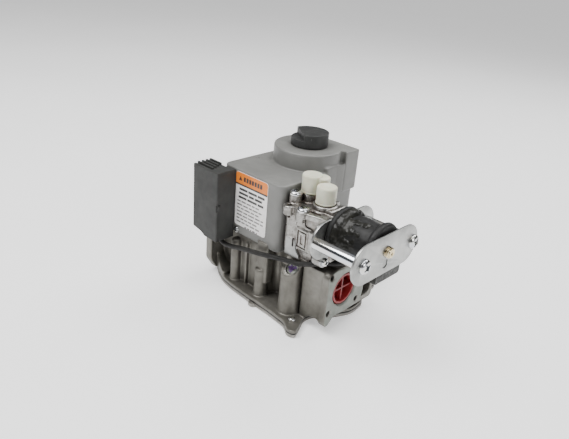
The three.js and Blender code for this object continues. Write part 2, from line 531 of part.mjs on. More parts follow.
// ---------------------------------------------------------------- two-stage solenoid
const stadium = (p) => {
  const shape = new THREE.Shape();
  const r = (p.z1 - p.z0) / 2;
  shape.absarc(p.y1 - r, p.z0 + r, r, -Math.PI / 2, Math.PI / 2, false);
  shape.absarc(p.y0 + r, p.z0 + r, r, Math.PI / 2, 1.5 * Math.PI, false);
  return shape;
};
const plateHoles = (x0, x1) => [
  ...TUBE.y.map((y) => cylX(2.1, x0, x1, y, TUBE.z, 16)),
];
piece('solenoid_rear_plate', cut(
  join(prismX(stadium(REAR_PLATE), REAR_PLATE.x0, REAR_PLATE.x1, 0.25, 12),
    cylX(3.9, REAR_PLATE.x0, REAR_PLATE.x1, PLATE_SCREW.y, PLATE_SCREW.z)),
  ...plateHoles(50, 60),
  cylX(4.2, 50, 60, COIL.y, COIL.z, 28),
  cylX(1.7, 50, 60, PLATE_SCREW.y, PLATE_SCREW.z, 12),
), STEEL);
piece('solenoid_front_plate', cut(
  prismX(stadium(FRONT_PLATE), FRONT_PLATE.x0, FRONT_PLATE.x1, 0.25, 12),
  ...plateHoles(88, 95),
  cylX(3.7, 88, 95, COIL.y, COIL.z, 28),
  prismX(slab(-35.6, -33.6, 70.6, 75.6, 0.8), 88, 95),
), STEEL);
TUBE.y.forEach((y, i) => {
  const tag = i === 0 ? 'front' : 'back';
  const tube = ring(2.3, TUBE.r, REAR_PLATE.x1, FRONT_PLATE.x0);
  const length = FRONT_PLATE.x1 - REAR_PLATE.x0;
  piece(`spacer_tube_${tag}`, turnedX(tube, 0, y, TUBE.z, 24), BRIGHT);
  piece(`clamp_screw_${tag}`, panScrewX(4.7, 3, 1.95, length, FRONT_PLATE.x1, y, TUBE.z), BRIGHT);
});
piece('rear_plate_screw', panScrewX(2.9, 2, 1.45, 7, REAR_PLATE.x1 + 0.05, PLATE_SCREW.y, PLATE_SCREW.z),
  BRIGHT);
piece('solenoid_bobbin', turnedX([
  [4.3, 57.2], [16.2, 57.2], [16.8, 58.2], [16.8, 60.4], [16.2, 61], [5.6, 61], [5.6, 85.2], [16, 85.2],
  [16.6, 86], [16.6, 88.8], [16, 89.6], [4.3, 89.6], [4.3, 57.2],
], 0, COIL.y, COIL.z), BLACK);
piece('solenoid_winding', turnedX([
  [5.7, 61.1], [13.2, 61.1], [13.7, 64], [13.7, 78], [13, 85.1], [5.7, 85.1], [5.7, 61.1],
], 0, COIL.y, COIL.z), BLACK);
piece('solenoid_core', turnedX([
  [0, 76], [3.5, 76], [3.5, 94.8], [3, 95.4], [1.6, 95.4], [1.6, 94], [0, 94],
], 0, COIL.y, COIL.z, 28), BRASS);
piece('solenoid_plunger', turnedX([
  [0, 51], [2.2, 51], [2.2, 56], [3.7, 57], [3.7, 71.4], [2.95, 71.4], [2.95, 62.6], [0, 62.6],
], 0, COIL.y, COIL.z, 28), STEEL);
const plungerSpring = spring(2.3, 0.4, 5, 66.4, 75.7, 0, 0).rotate([0, 90, 0])
  .translate([0, COIL.y, COIL.z]);
piece('solenoid_spring', plungerSpring, STEEL);

// insulated coil lead, from the connector to the coil's lower side
const leadRoute = [
  [-42.5, -46.4, 45.6], [-42.5, -46.4, 40.6], [-40.4, -46.4, 36.6], [-35.8, -46.3, 35.5], [-28, -46.2, 36.7],
  [-18, -46, 39.2],
  [-8, -46, 41.2], [2, -45.3, 42.9], [12, -44.4, 44.9], [20, -43.2, 46.2], [27, -42.6, 47.2],
  [31.5, -42.3, 47.9], [36, -40.4, 48.9], [40.5, -39.4, 50.4], [45, -37, 52], [50, -33.4, 53.2],
  [55.5, -29.6, 54.2],
  [60, -28.2, 56.6], [63.2, -29.6, 59.6], [64.5, -31.4, 62.4],
].map(([x, y, z]) => new THREE.Vector3(x, y, z));
piece('coil_lead', sweep(leadRoute, LEAD_R, 8, 40), BLACK);

export default group;
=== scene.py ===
"""Looks of a two-stage furnace gas valve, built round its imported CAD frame.

Helper lengths are millimetres in the CAD frame and become metres where a mesh is made.
"""
import math
import random

import bpy
from mathutils import Matrix, Vector, noise


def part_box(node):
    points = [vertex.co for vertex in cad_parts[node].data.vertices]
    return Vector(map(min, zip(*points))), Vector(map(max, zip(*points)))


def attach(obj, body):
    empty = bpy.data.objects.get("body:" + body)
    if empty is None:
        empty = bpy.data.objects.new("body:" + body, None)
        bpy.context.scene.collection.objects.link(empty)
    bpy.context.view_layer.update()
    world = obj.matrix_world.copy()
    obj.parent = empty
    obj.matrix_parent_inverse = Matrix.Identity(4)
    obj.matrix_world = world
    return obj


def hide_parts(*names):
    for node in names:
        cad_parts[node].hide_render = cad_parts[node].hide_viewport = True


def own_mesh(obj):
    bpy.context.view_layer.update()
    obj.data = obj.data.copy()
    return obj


MM = 0.001
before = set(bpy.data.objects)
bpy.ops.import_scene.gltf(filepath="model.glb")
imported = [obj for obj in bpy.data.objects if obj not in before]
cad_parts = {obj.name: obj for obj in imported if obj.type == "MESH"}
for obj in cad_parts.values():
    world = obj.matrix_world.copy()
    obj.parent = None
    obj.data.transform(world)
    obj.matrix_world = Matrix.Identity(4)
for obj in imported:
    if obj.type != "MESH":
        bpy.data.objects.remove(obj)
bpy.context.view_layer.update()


class Span:
    """Where a CAD node lies, in millimetres."""

    def __init__(self, node):
        low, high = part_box(node)
        self.x0, self.y0, self.z0 = (c / MM for c in low)
        self.x1, self.y1, self.z1 = (c / MM for c in high)
        self.cx, self.cy, self.cz = (
            (self.x0 + self.x1) / 2,
            (self.y0 + self.y1) / 2,
            (self.z0 + self.z1) / 2,
        )


# ------------------------------------------------------------------ shapes
def rounded(points, steps=6, closed=True):
    """An outline whose corners are eased; each point is (u, v) or (u, v, reach of the corner)."""
    out = []
    count = len(points)
    for i, point in enumerate(points):
        here = Vector(point[:2])
        reach = point[2] if len(point) > 2 else 0
        if not closed and i in (0, count - 1):
            reach = 0
        back = Vector(points[i - 1][:2]) - here
        ahead = Vector(points[(i + 1) % count][:2]) - here
        reach = min(reach, 0.49 * back.length, 0.49 * ahead.length)
        if reach <= 0:
            out.append(here)
            continue
        enter = here + back.normalized() * reach
        leave = here + ahead.normalized() * reach
        for k in range(steps + 1):
            t = k / steps
            out.append((1 - t) ** 2 * enter + 2 * t * (1 - t) * here + t * t * leave)
    return out


def rectangle(u0, u1, v0, v1, reach=0, steps=6):
    corners = [(u0, v0, reach), (u1, v0, reach), (u1, v1, reach), (u0, v1, reach)]
    return rounded(corners, steps)


def circle(radius, count, centre=(0, 0)):
    """A circle, or with a small count a regular polygon."""
    angles = [2 * math.pi * i / count for i in range(count)]
    return [Vector((centre[0] + radius * math.cos(a), centre[1] + radius * math.sin(a))) for a in angles]


def spin(points, angle):
    """The outline turned about its origin."""
    turn = Matrix.Rotation(angle, 2)
    return [turn @ Vector(p) for p in points]


def inset(points, depth):
    """The outline moved inwards by depth."""
    count = len(points)
    area = sum(points[i - 1].cross(points[i]) for i in range(count))
    side = 1 if area > 0 else -1
    moved = []
    for i in range(count):
        before = (points[i] - points[i - 1]).normalized()
        after = (points[(i + 1) % count] - points[i]).normalized()
        first = Vector((-before.y, before.x)) * side
        second = Vector((-after.y, after.x)) * side
        bisector = (first + second) / max(1 + first.dot(second), 0.3)
        moved.append(points[i] + bisector * depth)
    return moved


def placed(u, v, w, axis, at=(0, 0, 0)):
    """A point of an outline drawn across axis, at w along it, from at."""
    point = {"x": (w, u, v), "y": (u, w, v), "z": (u, v, w)}[axis]
    return tuple(c + shift for c, shift in zip(point, at))


def outward(verts, faces):
    """The closed solid with its faces turned outwards."""
    points = [Vector(v) for v in verts]
    volume = 0
    for face in faces:
        for k in range(1, len(face) - 1):
            a, b, c = points[face[0]], points[face[k]], points[face[k + 1]]
            volume += a.dot(b.cross(c))
    return (verts, faces if volume > 0 else [tuple(reversed(f)) for f in faces])


def skin(verts, count):
    """The solid through stacked rings of count points, with flat ends."""
    faces = [tuple(range(count)), tuple(range(len(verts) - count, len(verts)))[::-1]]
    for base in range(0, len(verts) - count, count):
        for i in range(count):
            j = (i + 1) % count
            faces.append((base + j, base + i, base + count + i, base + count + j))
    return outward(verts, faces)


def prism(points, low, high, axis="z", edge=0.0, steps=3):
    """An extruded outline with rolled end edges."""
    levels = []
    for k in range(steps + 1 if edge else 1):
        t = math.pi / 2 * k / steps
        levels.append((edge * (1 - math.sin(t)), low + edge * (1 - math.cos(t))))
    levels += [(depth, high + low - w) for depth, w in reversed(levels)]
    verts = []
    for depth, w in levels:
        ring = inset(points, depth) if depth else points
        verts += [placed(p.x, p.y, w, axis) for p in ring]
    return skin(verts, len(points))


def slab(points, low, high, axis="z", edge=0.0):
    """An extruded outline with eased corners."""
    return prism(rounded(points), low, high, axis, edge)


def block(x0, x1, y0, y1, z0, z1, edge=0.0):
    return prism(rectangle(x0, x1, y0, y1), z0, z1, "z", edge)


def lathe(profile, axis, at, segments=72):
    """A turned solid; profile is (radius, height, reach) from axis to axis, or a closed ring."""
    ring_shaped = profile[0][0] > 0
    outline = rounded(profile, 4, closed=ring_shaped)
    rows = []
    verts = []
    for p in outline:
        if p.x < 1e-6:
            verts.append(placed(0, 0, p.y, axis, at))
            rows.append([len(verts) - 1] * segments)
            continue
        row = []
        for s in range(segments):
            angle = 2 * math.pi * s / segments
            verts.append(placed(p.x * math.cos(angle), p.x * math.sin(angle), p.y, axis, at))
            row.append(len(verts) - 1)
        rows.append(row)
    faces = []
    pairs = list(zip(rows, rows[1:]))
    if ring_shaped:
        pairs.append((rows[-1], rows[0]))
    for lower, upper in pairs:
        for s in range(segments):
            t = (s + 1) % segments
            face = (lower[s], lower[t], upper[t], upper[s])
            face = tuple(dict.fromkeys(face))
            if len(face) > 2:
                faces.append(face)
    return outward(verts, faces)


def rod(radius, low, high, axis, at, segments=48):
    return lathe([(0, low), (radius, low), (radius, high), (0, high)], axis, at, segments)


def upright(radius, low, high, place, segments=48):
    """A rod standing on the axis of a CAD node."""
    return rod(radius, low, high, "z", (place.cx, place.cy, 0), segments)


def along_x(radius, low, high, place, segments=48):
    """A rod lying along x through the middle of a CAD node."""
    return rod(radius, low, high, "x", (0, place.cy, place.cz), segments)


def standing(profile, place, segments=72):
    """A turned solid on the upright axis of a CAD node."""
    return lathe(profile, "z", (place.cx, place.cy, 0), segments)


def lying(profile, place, segments):
    """A turned solid along x through the middle of a CAD node."""
    return lathe(profile, "x", (0, place.cy, place.cz), segments)


def turned(solid, matrix):
    """The solid moved by a 4x4 matrix."""
    verts, faces = solid
    return ([tuple(matrix @ Vector(v)) for v in verts], faces)


def tube_along(points, radius, sides=20):
    """A round cable along smooth points, with closed ends."""
    verts = []
    side = Vector((0, 0, 1))
    for i, p in enumerate(points):
        ahead = points[min(i + 1, len(points) - 1)] - points[max(i - 1, 0)]
        ahead.normalize()
        side = (side - ahead * side.dot(ahead)).normalized()
        other = ahead.cross(side)
        for s in range(sides):
            angle = 2 * math.pi * s / sides
            verts.append(tuple(p + radius * (math.cos(angle) * side + math.sin(angle) * other)))
    return skin(verts, sides)


def smooth_route(points, per_span=8):
    """A centripetal Catmull-Rom curve through the points."""
    ends = [2 * points[0] - points[1], *points, 2 * points[-1] - points[-2]]
    out = []
    for i in range(1, len(ends) - 2):
        a, b, c, d = ends[i - 1 : i + 3]
        k0 = 0
        k1 = k0 + (b - a).length ** 0.5
        k2 = k1 + (c - b).length ** 0.5
        k3 = k2 + (d - c).length ** 0.5
        for s in range(per_span):
            k = k1 + (k2 - k1) * s / per_span
            ab = a.lerp(b, (k - k0) / (k1 - k0))
            bc = b.lerp(c, (k - k1) / (k2 - k1))
            cd = c.lerp(d, (k - k2) / (k3 - k2))
            left = ab.lerp(bc, (k - k0) / (k2 - k0))
            right = bc.lerp(cd, (k - k1) / (k3 - k1))
            out.append(left.lerp(right, (k - k1) / (k2 - k1)))
    return [*out, points[-1]]


# ------------------------------------------------------------------ objects
def raw(name, solid):
    verts, faces = solid
    mesh = bpy.data.meshes.new(name)
    mesh.from_pydata([(x * MM, y * MM, z * MM) for x, y, z in verts], [], faces)
    obj = bpy.data.objects.new(name, mesh)
    bpy.context.scene.collection.objects.link(obj)
    return obj


def settle(obj):
    """Turns the modifiers into the object's own mesh."""
    bpy.context.view_layer.update()
    evaluated = obj.evaluated_get(bpy.context.evaluated_depsgraph_get())
    mesh = bpy.data.meshes.new_from_object(evaluated)
    obj.modifiers.clear()
    obj.data = mesh
    return obj


def boolean(obj, solids, operation):
    """Adds an unapplied boolean for each solid, which may be an object already, and returns the tools."""
    tools = [solid if isinstance(solid, bpy.types.Object) else raw("tool", solid) for solid in solids]
    for tool in tools:
        modifier = obj.modifiers.new("shape", "BOOLEAN")
        modifier.operation = operation
        modifier.solver = "MANIFOLD"
        modifier.object = tool
    return tools


def shape(obj, parts, cuts=()):
    """Joins the parts to the object, then takes the cuts out of it."""
    tools = boolean(obj, parts, "UNION") + boolean(obj, cuts, "DIFFERENCE")
    settle(obj)
    for tool in tools:
        bpy.data.objects.remove(tool)
    return obj


def combine(name, parts, cuts=()):
    """One closed mesh: the parts joined, then the cuts taken out."""
    return shape(raw(name, parts[0]), parts[1:], cuts)


def carve(obj, cuts):
    """Takes solids out of a finished mesh, leaving crisp machined edges."""
    return shape(obj, (), cuts)


def soften(obj, voxel, rounds=4, keep=0.5):
    """Gives the mesh the small radii of a casting or a moulding."""
    remesh = obj.modifiers.new("remesh", "REMESH")
    remesh.mode = "VOXEL"
    remesh.voxel_size = voxel * MM
    smooth = obj.modifiers.new("smooth", "SMOOTH")
    smooth.factor = 0.5
    smooth.iterations = rounds
    if keep < 1:
        thin = obj.modifiers.new("thin", "DECIMATE")
        thin.ratio = keep
    return settle(obj)


def finish_piece(obj, material, nodes=(), sharp=40, body="body"):
    """Shades the piece, gives it its material, ties it to its body and hides the CAD nodes it stands for."""
    mesh = obj.data
    mesh.materials.clear()
    mesh.materials.append(material)
    mesh.shade_smooth()
    mesh.set_sharp_from_angle(angle=math.radians(sharp))
    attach(obj, body)
    if nodes:
        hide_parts(*nodes)
    return obj


# ------------------------------------------------------------------ materials
class Shader:
    """A node material on the principled shader, with texture sizes given in millimetres."""

    def __init__(self, name, **sockets):
        self.material = bpy.data.materials.new(name)
        self.material.use_nodes = True
        self.nodes = self.material.node_tree.nodes
        self.links = self.material.node_tree.links
        self.bsdf = self.nodes["Principled BSDF"]
        for socket, value in sockets.items():
            self.bsdf.inputs[socket.replace("_", " ")].default_value = value
        self.coords = self.nodes.new("ShaderNodeTexCoord").outputs["Object"]
        self.height = None

    def add(self, kind, output, settings=(), **inputs):
        """A new node with its settings, its inputs set or linked, and the socket it gives out."""
        node = self.nodes.new("ShaderNode" + kind)
        for name, value in settings:
            setattr(node, name, value)
        for name, value in inputs.items():
            self.feed(value, node.inputs[name.replace("_", " ")])
        return node.outputs[output]

    def feed(self, value, socket):
        if isinstance(value, bpy.types.NodeSocket):
            self.links.new(value, socket)
        else:
            socket.default_value = value

    def noise(self, size, detail=3, stretch=(1, 1, 1), distortion=0):
        place = self.add("Mapping", "Vector", Scale=stretch, Vector=self.coords)
        return self.add("TexNoise", "Fac", Scale=1 / (size * MM), Detail=detail, Roughness=0.55,
                        Distortion=distortion, Vector=place)

    def waves(self, axis, size, distortion):
        return self.add("TexWave", "Fac", [("bands_direction", axis)], Scale=1 / (size * MM) / 20,
                        Distortion=distortion, Vector=self.coords)

    def edges(self, amount, low=0.52, high=0.6):
        """The amount on outer edges, 0 elsewhere."""
        return self.spread(self.add("NewGeometry", "Pointiness"), low, high, 0, amount)

    def corners(self, reach, amount):
        """The amount in inner corners and hollows within reach, from ambient occlusion, 0 elsewhere: the mask
        of painted shade.
        """
        shade = self.add("AmbientOcclusion", "AO", [("samples", 8)], Distance=reach * MM)
        return self.spread(shade, 0.95, 0.35, 0, amount)

    def spread(self, value, low, high, new_low, new_high):
        return self.add("MapRange", "Result", Value=value, From_Min=low, From_Max=high, To_Min=new_low,
                        To_Max=new_high)

    def ramp(self, value, *colours):
        """Colours placed evenly over the value's middle range."""
        node = self.nodes.new("ShaderNodeValToRGB")
        stops = node.color_ramp.elements
        last = len(colours) - 1
        for i, colour in enumerate(colours):
            position = 0.3 + 0.4 * i / last
            stop = stops[i] if i < 2 else stops.new(position)
            stop.position = position
            stop.color = (*colour, 1)
        self.links.new(value, node.inputs["Fac"])
        return node.outputs["Color"]

    def mix(self, amount, first, second):
        node = self.nodes.new("ShaderNodeMix")
        node.data_type = "RGBA"
        self.links.new(amount, node.inputs["Factor"])
        for value, socket in ((first, node.inputs[6]), (second, node.inputs[7])):
            self.feed((*value, 1) if isinstance(value, tuple) else value, socket)
        return node.outputs[2]

    def colour(self, value):
        self.links.new(value, self.bsdf.inputs["Base Color"])

    def roughness(self, value, low, high):
        self.links.new(self.spread(value, 0.3, 0.7, low, high), self.bsdf.inputs["Roughness"])

    def bump(self, value, depth, strength):
        """Adds relief of depth millimetres on top of the relief so far."""
        under = {} if self.height is None else {"Normal": self.height}
        self.height = self.add("Bump", "Normal", Distance=depth * MM, Strength=strength, Height=value,
                               **under)
        self.links.new(self.height, self.bsdf.inputs["Normal"])


def surface(name, tints, blotch, rough, grains, hollow_shade=None, edge_highlight=None, **sockets):
    """A material of uneven tint, roughness and relief, with painted shade in its hollows and a painted
    highlight on its edges.

    blotch is the noise under the tints. rough is (low, high, noise...). Each grain is (depth, strength,
    noise...), or names an axis for waves. The painted shade in hollows is (reach, amount, colour), and
    the painted highlight on outer edges is (amount, colour, limits...).
    """
    s = Shader(name, **sockets)
    colour = s.ramp(s.noise(*blotch), *tints)
    # painted shade: a darker colour mixed in where ambient occlusion finds inner corners and hollows
    if hollow_shade:
        reach, amount, shade_colour = hollow_shade
        if isinstance(shade_colour, list):
            shade_colour = s.ramp(s.noise(7, 2), *shade_colour)
        colour = s.mix(s.corners(reach, amount), colour, shade_colour)
    # painted highlight: a lighter colour mixed in on outer edges, found by pointiness
    if edge_highlight:
        amount, bright, *limits = edge_highlight
        colour = s.mix(s.edges(amount, *limits), colour, bright)
    s.colour(colour)
    low, high, *noise_of = rough
    s.roughness(s.noise(*noise_of), low, high)
    for depth, strength, *grain in grains:
        pattern = s.waves if isinstance(grain[0], str) else s.noise
        s.bump(pattern(*grain), depth, strength)
    return s.material


def moulded(name, tints, rough, grain, depth, edge=None, **sockets):
    """A moulded plastic with a fine grain; edge, when given, is the colour of a painted highlight on its
    outer edges.
    """
    edge_highlight = edge and (0.5, edge)
    return surface(name, tints, (12,), (*rough, 4), [(depth, 0.6, grain)], edge_highlight=edge_highlight, **sockets)


def bright_plating(name, tints, rough, streak):
    """Plated steel with faint passivation tints and drawing marks."""
    return surface(name, tints, (5, 2, streak), (*rough, 1.5), [(0.02, 0.5, 1.2, 3, streak)], Metallic=1)


def machined(name, tints, rough, size=3):
    """Turned metal, with painted shade in its hollows."""
    shade = tuple(c * 0.3 for c in tints[0])
    return surface(name, tints, (size,), (*rough, 1.4), [(0.02, 0.5, 0.8)], (2, 0.5, shade), Metallic=1)


def printed(name, tints):
    """Ink or film on the label."""
    return surface(name, tints, (2.5, 4), (0.4, 0.52, 2), [(0.015, 0.4, 0.7, 2)], Coat_Weight=0.15,
                   Coat_Roughness=0.3)


# The darker colour in hollows is painted shade, and the lighter edge colour is a painted highlight.
CAST = surface(
    "cast_aluminium", [(0.112, 0.106, 0.091), (0.155, 0.148, 0.129), (0.21, 0.202, 0.18)], (16, 4),
    (0.34, 0.54, 3), [(0.1, 0.55, 0.7, 4), (0.35, 0.4, 5, 2)],
    (9, 0.7, (0.06, 0.055, 0.046)), (0.45, (0.38, 0.37, 0.345)), Metallic=0.62,
)
MACHINED = surface(
    "machined_face", [(0.16, 0.171, 0.15), (0.205, 0.217, 0.193), (0.25, 0.262, 0.236)], (6, 4),
    (0.4, 0.55, 1.5), [(0.04, 0.5, 1.6, 2, (1, 1, 14))], Metallic=0.55,
)
# The lighter edge colour is a painted highlight.
BASE = surface(
    "base_metal", [(0.17, 0.16, 0.143), (0.225, 0.213, 0.192), (0.3, 0.288, 0.265)], (9, 4),
    (0.33, 0.52, 2.5), [(0.08, 0.5, 0.8, 4)], edge_highlight=(0.5, (0.5, 0.49, 0.47)), Metallic=0.6,
)
# The darker colour in hollows is painted shade, and the lighter edge colour is a painted highlight.
PAINT = surface(
    "grey_paint", [(0.142, 0.142, 0.134), (0.165, 0.165, 0.156), (0.188, 0.188, 0.178)], (22, 4),
    (0.42, 0.55, 6), [(0.05, 0.5, 0.55), (0.12, 0.25, 3.2, 2)],
    (5, 0.5, (0.07, 0.068, 0.062)), (0.35, (0.3, 0.3, 0.29), 0.53, 0.62),
    Coat_Weight=0.12, Coat_Roughness=0.35,
)
# The brownish darkening in hollows is painted shade, and the lighter edge colour is a painted highlight.
ZINC = surface(
    "diecast_zinc", [(0.19, 0.183, 0.168), (0.29, 0.282, 0.266), (0.4, 0.392, 0.377)], (4, 4, (1, 1, 1), 0.8),
    (0.24, 0.42, 2.2), [(0.08, 0.4, 1.3), (0.5, 0.35, 4.5, 2)],
    (6, 0.7, [(0.1, 0.066, 0.068), (0.15, 0.105, 0.078), (0.11, 0.1, 0.088)]), (0.7, (0.66, 0.655, 0.63)),
    Metallic=0.88,
)
# The lighter edge colour is a painted highlight.
SHEET = surface(
    "zinc_sheet", [(0.25, 0.254, 0.247), (0.31, 0.314, 0.305), (0.37, 0.374, 0.362)], (8, 4),
    (0.3, 0.44, 1.8, 4), [(0.03, 0.5, 0.9, 3, (1, 1, 8)), (0.25, 0.25, 7, 2)],
    edge_highlight=(0.6, (0.7, 0.7, 0.69)), Metallic=0.95,
)
# The darker yellow-brown in hollows is painted shade.
IVORY = surface(
    "ivory_plastic", [(0.62, 0.615, 0.47), (0.69, 0.685, 0.54), (0.75, 0.745, 0.62)], (9,),
    (0.34, 0.48, 3), [(0.04, 0.5, 0.6)], (3, 0.6, (0.25, 0.22, 0.13)), Subsurface_Weight=0.12,
    Subsurface_Scale=0.002,
)
COMPOUND = surface(
    "sealing_compound", [(0.006, 0.0059, 0.0045), (0.01, 0.0098, 0.0078), (0.017, 0.0165, 0.013)], (5, 4),
    (0.3, 0.6, 2), [(0.3, 0.45, 2.2)], Coat_Weight=0.2, Coat_Roughness=0.1, Specular_IOR_Level=0.15,
)
TAPE = surface(
    "coil_tape", [(0.009, 0.009, 0.0088), (0.014, 0.014, 0.0136), (0.022, 0.022, 0.0215)], (6,),
    (0.4, 0.6, 3), [(0.1, 0.35, "X", 1.1, 0.6), (0.3, 0.4, 3)],
    Coat_Weight=0.04, Coat_Roughness=0.3, Specular_IOR_Level=0.2,
)
RUBBER = surface(
    "rubber_sheet", [(0.018, 0.018, 0.017), (0.028, 0.028, 0.027)], (3,),
    (0.7, 0.85, 1.5), [(0.05, 0.6, 0.4)],
)
# The lighter grey edge colours of the charcoal and knob plastics are a painted highlight.
CHARCOAL = moulded(
    "charcoal_plastic", [(0.026, 0.0265, 0.025), (0.032, 0.0325, 0.031), (0.039, 0.0395, 0.037)],
    (0.5, 0.62), 0.35, 0.05, (0.08, 0.08, 0.076), Specular_IOR_Level=0.3,
)
KNOB_PLASTIC = moulded(
    "knob_plastic", [(0.022, 0.0225, 0.022), (0.029, 0.0295, 0.0288), (0.037, 0.0375, 0.0365)],
    (0.45, 0.6), 0.45, 0.05, (0.09, 0.091, 0.088), Specular_IOR_Level=0.3,
)
BOBBIN = moulded(
    "bobbin_plastic", [(0.01, 0.01, 0.01), (0.015, 0.015, 0.0148), (0.022, 0.022, 0.0216)],
    (0.4, 0.6), 0.8, 0.08, Coat_Weight=0.04, Coat_Roughness=0.25, Specular_IOR_Level=0.2,
)
# The pink edge colour is a painted highlight on the red plastic.
RED = moulded(
    "red_polyethylene", [(0.15, 0.006, 0.008), (0.21, 0.01, 0.012), (0.29, 0.02, 0.022)],
    (0.34, 0.5), 0.7, 0.06, (0.62, 0.17, 0.15), Subsurface_Weight=0.08, Subsurface_Scale=0.002,
)
SHEATH = moulded(
    "lead_sheath", [(0.008, 0.0075, 0.007), (0.012, 0.0115, 0.0105), (0.018, 0.017, 0.0155)],
    (0.5, 0.7), 0.8, 0.05, Specular_IOR_Level=0.3,
)
TUBE = bright_plating(
    "tube_plating", [(0.56, 0.62, 0.7), (0.68, 0.69, 0.7), (0.68, 0.64, 0.52)],
    (0.07, 0.16), (0.15, 1, 1),
)
SCREW = bright_plating(
    "screw_plating", [(0.5, 0.52, 0.55), (0.63, 0.64, 0.65), (0.62, 0.6, 0.52)],
    (0.12, 0.26), (1, 1, 1),
)
BRASS = machined(
    "brass", [(0.5, 0.34, 0.13), (0.62, 0.45, 0.19), (0.7, 0.53, 0.26)],
    (0.2, 0.34),
)
POST = machined(
    "yellow_plating", [(0.56, 0.46, 0.27), (0.68, 0.58, 0.37), (0.76, 0.68, 0.5)],
    (0.2, 0.34),
)
STEEL = machined(
    "inner_steel", [(0.45, 0.45, 0.43), (0.55, 0.55, 0.53), (0.64, 0.64, 0.62)],
    (0.28, 0.42),
)
SPRING = machined(
    "spring_wire", [(0.42, 0.42, 0.42), (0.55, 0.55, 0.55), (0.65, 0.65, 0.65)],
    (0.22, 0.35), 1.0,
)
COPPER = machined(
    "enamelled_copper", [(0.3, 0.1, 0.04), (0.42, 0.16, 0.07), (0.5, 0.22, 0.1)],
    (0.25, 0.4), 1.2,
)
FILM = printed("label_film", [(0.82, 0.795, 0.78), (0.88, 0.86, 0.845), (0.93, 0.915, 0.9)])
ORANGE = printed("orange_ink", [(0.72, 0.17, 0.01), (0.78, 0.205, 0.016), (0.82, 0.24, 0.026)])
BLACK_INK = printed("black_ink", [(0.02, 0.019, 0.018), (0.03, 0.029, 0.028), (0.05, 0.048, 0.045)])
GREY_INK = printed("grey_ink", [(0.1, 0.09, 0.09), (0.16, 0.15, 0.15), (0.24, 0.23, 0.22)])
VIOLET = printed("violet_paint", [(0.06, 0.02, 0.11), (0.09, 0.03, 0.16), (0.13, 0.06, 0.2)])

# ------------------------------------------------------------------ places taken from the frame
BODY = Span("valve_body")
SEAL = Span("diaphragm_sheet")
PLATE = Span("base_plate")
COVER = Span("cover_housing")
DECK = BODY.z1
RIM_TOP = SEAL.z1 + 2.4
OUTLET = Span("outlet_plug")
INLET = Span("inlet_plug")
PORT_R = (OUTLET.z1 - OUTLET.z0) / 2 + 0.25
TOWER = Span("manual_valve_plug")
FIRST = Span("shutoff_coil")
MAIN = Span("main_poppet")
COIL = Span("solenoid_bobbin")
REAR = Span("solenoid_rear_plate")
FRONT = Span("solenoid_front_plate")
TAP_FACE = Matrix.Translation((25.6, -39.8, 40.9)) @ Matrix.Rotation(0.72, 4, "X")
BIG_BOSS = (23.8, -37.4)
BASE_SCREWS = [Span(f"base_screw_{i}") for i in range(1, 6)]
LUG = Span("lug_screw")

RIM_OUTLINE = [
    (-62, -24, 6), (-61.4, -32.7, 4), (-50.7, -39.8, 4), (-39.5, -44.8, 5), (-28.3, -46.9, 5),
    (-4.3, -48.4, 4), (12, -48.7, 4), (32, -50.4, 4), (39.8, -56, 3), (46, -54, 3),
    (40.6, -42.3, 3), (36.6, -35, 5), (37.8, -26, 5), (43.6, -22.4, 4), (48, -12, 5),
    (53, -1, 7), (50.6, 16, 6), (43.4, 23, 5), (42, 30, 5), (42, 47, 7), (-60, 48.6, 12), (-62, 20, 6),
]
BLOCK_OUTLINE = [
    (-56, -30.5, 1), (-38, -30.5, 4), (-34, -36.8, 2), (-1, -36.8, 2), (1.5, -28, 4), (15, -28, 4),
    (17, -34, 2), (30, -34, 2), (37, -34, 1), (37, 38, 6), (-56, 38, 8),
]
FLANGE_OUTLINE = [
    (-37.4, 9, 3), (-34.6, 5.6, 3.5), (-30.8, 7.6, 3), (-27, 12.2, 4), (-17, 11.2, 4), (-6, 11.6, 4),
    (2, 12.4, 3), (4.5, 19, 4), (3.2, 47, 5), (-31, 49, 6), (-37.4, 46, 5), (-37, 22, 3),
]
FLANGE_PITCH = (30.4, 27.6)


def screw_holes(radius, low, high):
    return [upright(radius, low, high, s, 24) for s in BASE_SCREWS]


def region(obj, material, chosen):
    """Gives another material to the faces that chosen(centre, normal) picks, in millimetres."""
    obj.data.materials.append(material)
    number = len(obj.data.materials) - 1
    for face in obj.data.polygons:
        if chosen(face.center / MM, face.normal):
            face.material_index = number


def warp(obj, depth, size, seed=0):
    """Moves the surface in and out by smooth noise."""
    shift = Vector((seed * 7.3, seed * 3.1, seed * 5.7))
    normals = [v.normal.copy() for v in obj.data.vertices]
    for vertex, normal in zip(obj.data.vertices, normals):
        amount = noise.fractal(vertex.co / (size * MM) + shift, 1.0, 2.0, 3)
        vertex.co += normal * amount * depth * MM
    return obj


# ------------------------------------------------------------------ cast body and base
def boss(x, y, radius, height, foot=0.8):
    profile = [
        (0, 0), (radius + foot, 0), (radius + foot * 0.2, 3.5, 2), (radius, 7),
        (radius, height, radius * 0.95), (0, height),
    ]
    return lathe(profile, "z", (x, y, RIM_TOP - 1), 40)


def threaded_bore(face, inward, port):
    """The tool for a pipe bore: a chamfered mouth, a plain part for the protector, then thread."""
    pitch, crest, depth, end = 1.8, PORT_R - 0.65, 15.0, 35.5
    profile = [(0, 2), (PORT_R + 0.9, 2), (PORT_R + 0.9, 0.0), (PORT_R, -0.9), (PORT_R, -depth)]
    while depth < 30:
        profile += [(crest, -depth - pitch / 2), (PORT_R, -depth - pitch)]
        depth += pitch
    profile += [(crest, -end), (0, -end)]
    return lathe([(r, h * inward) for r, h in profile], "x", (face, port.cy, port.cz), 72)


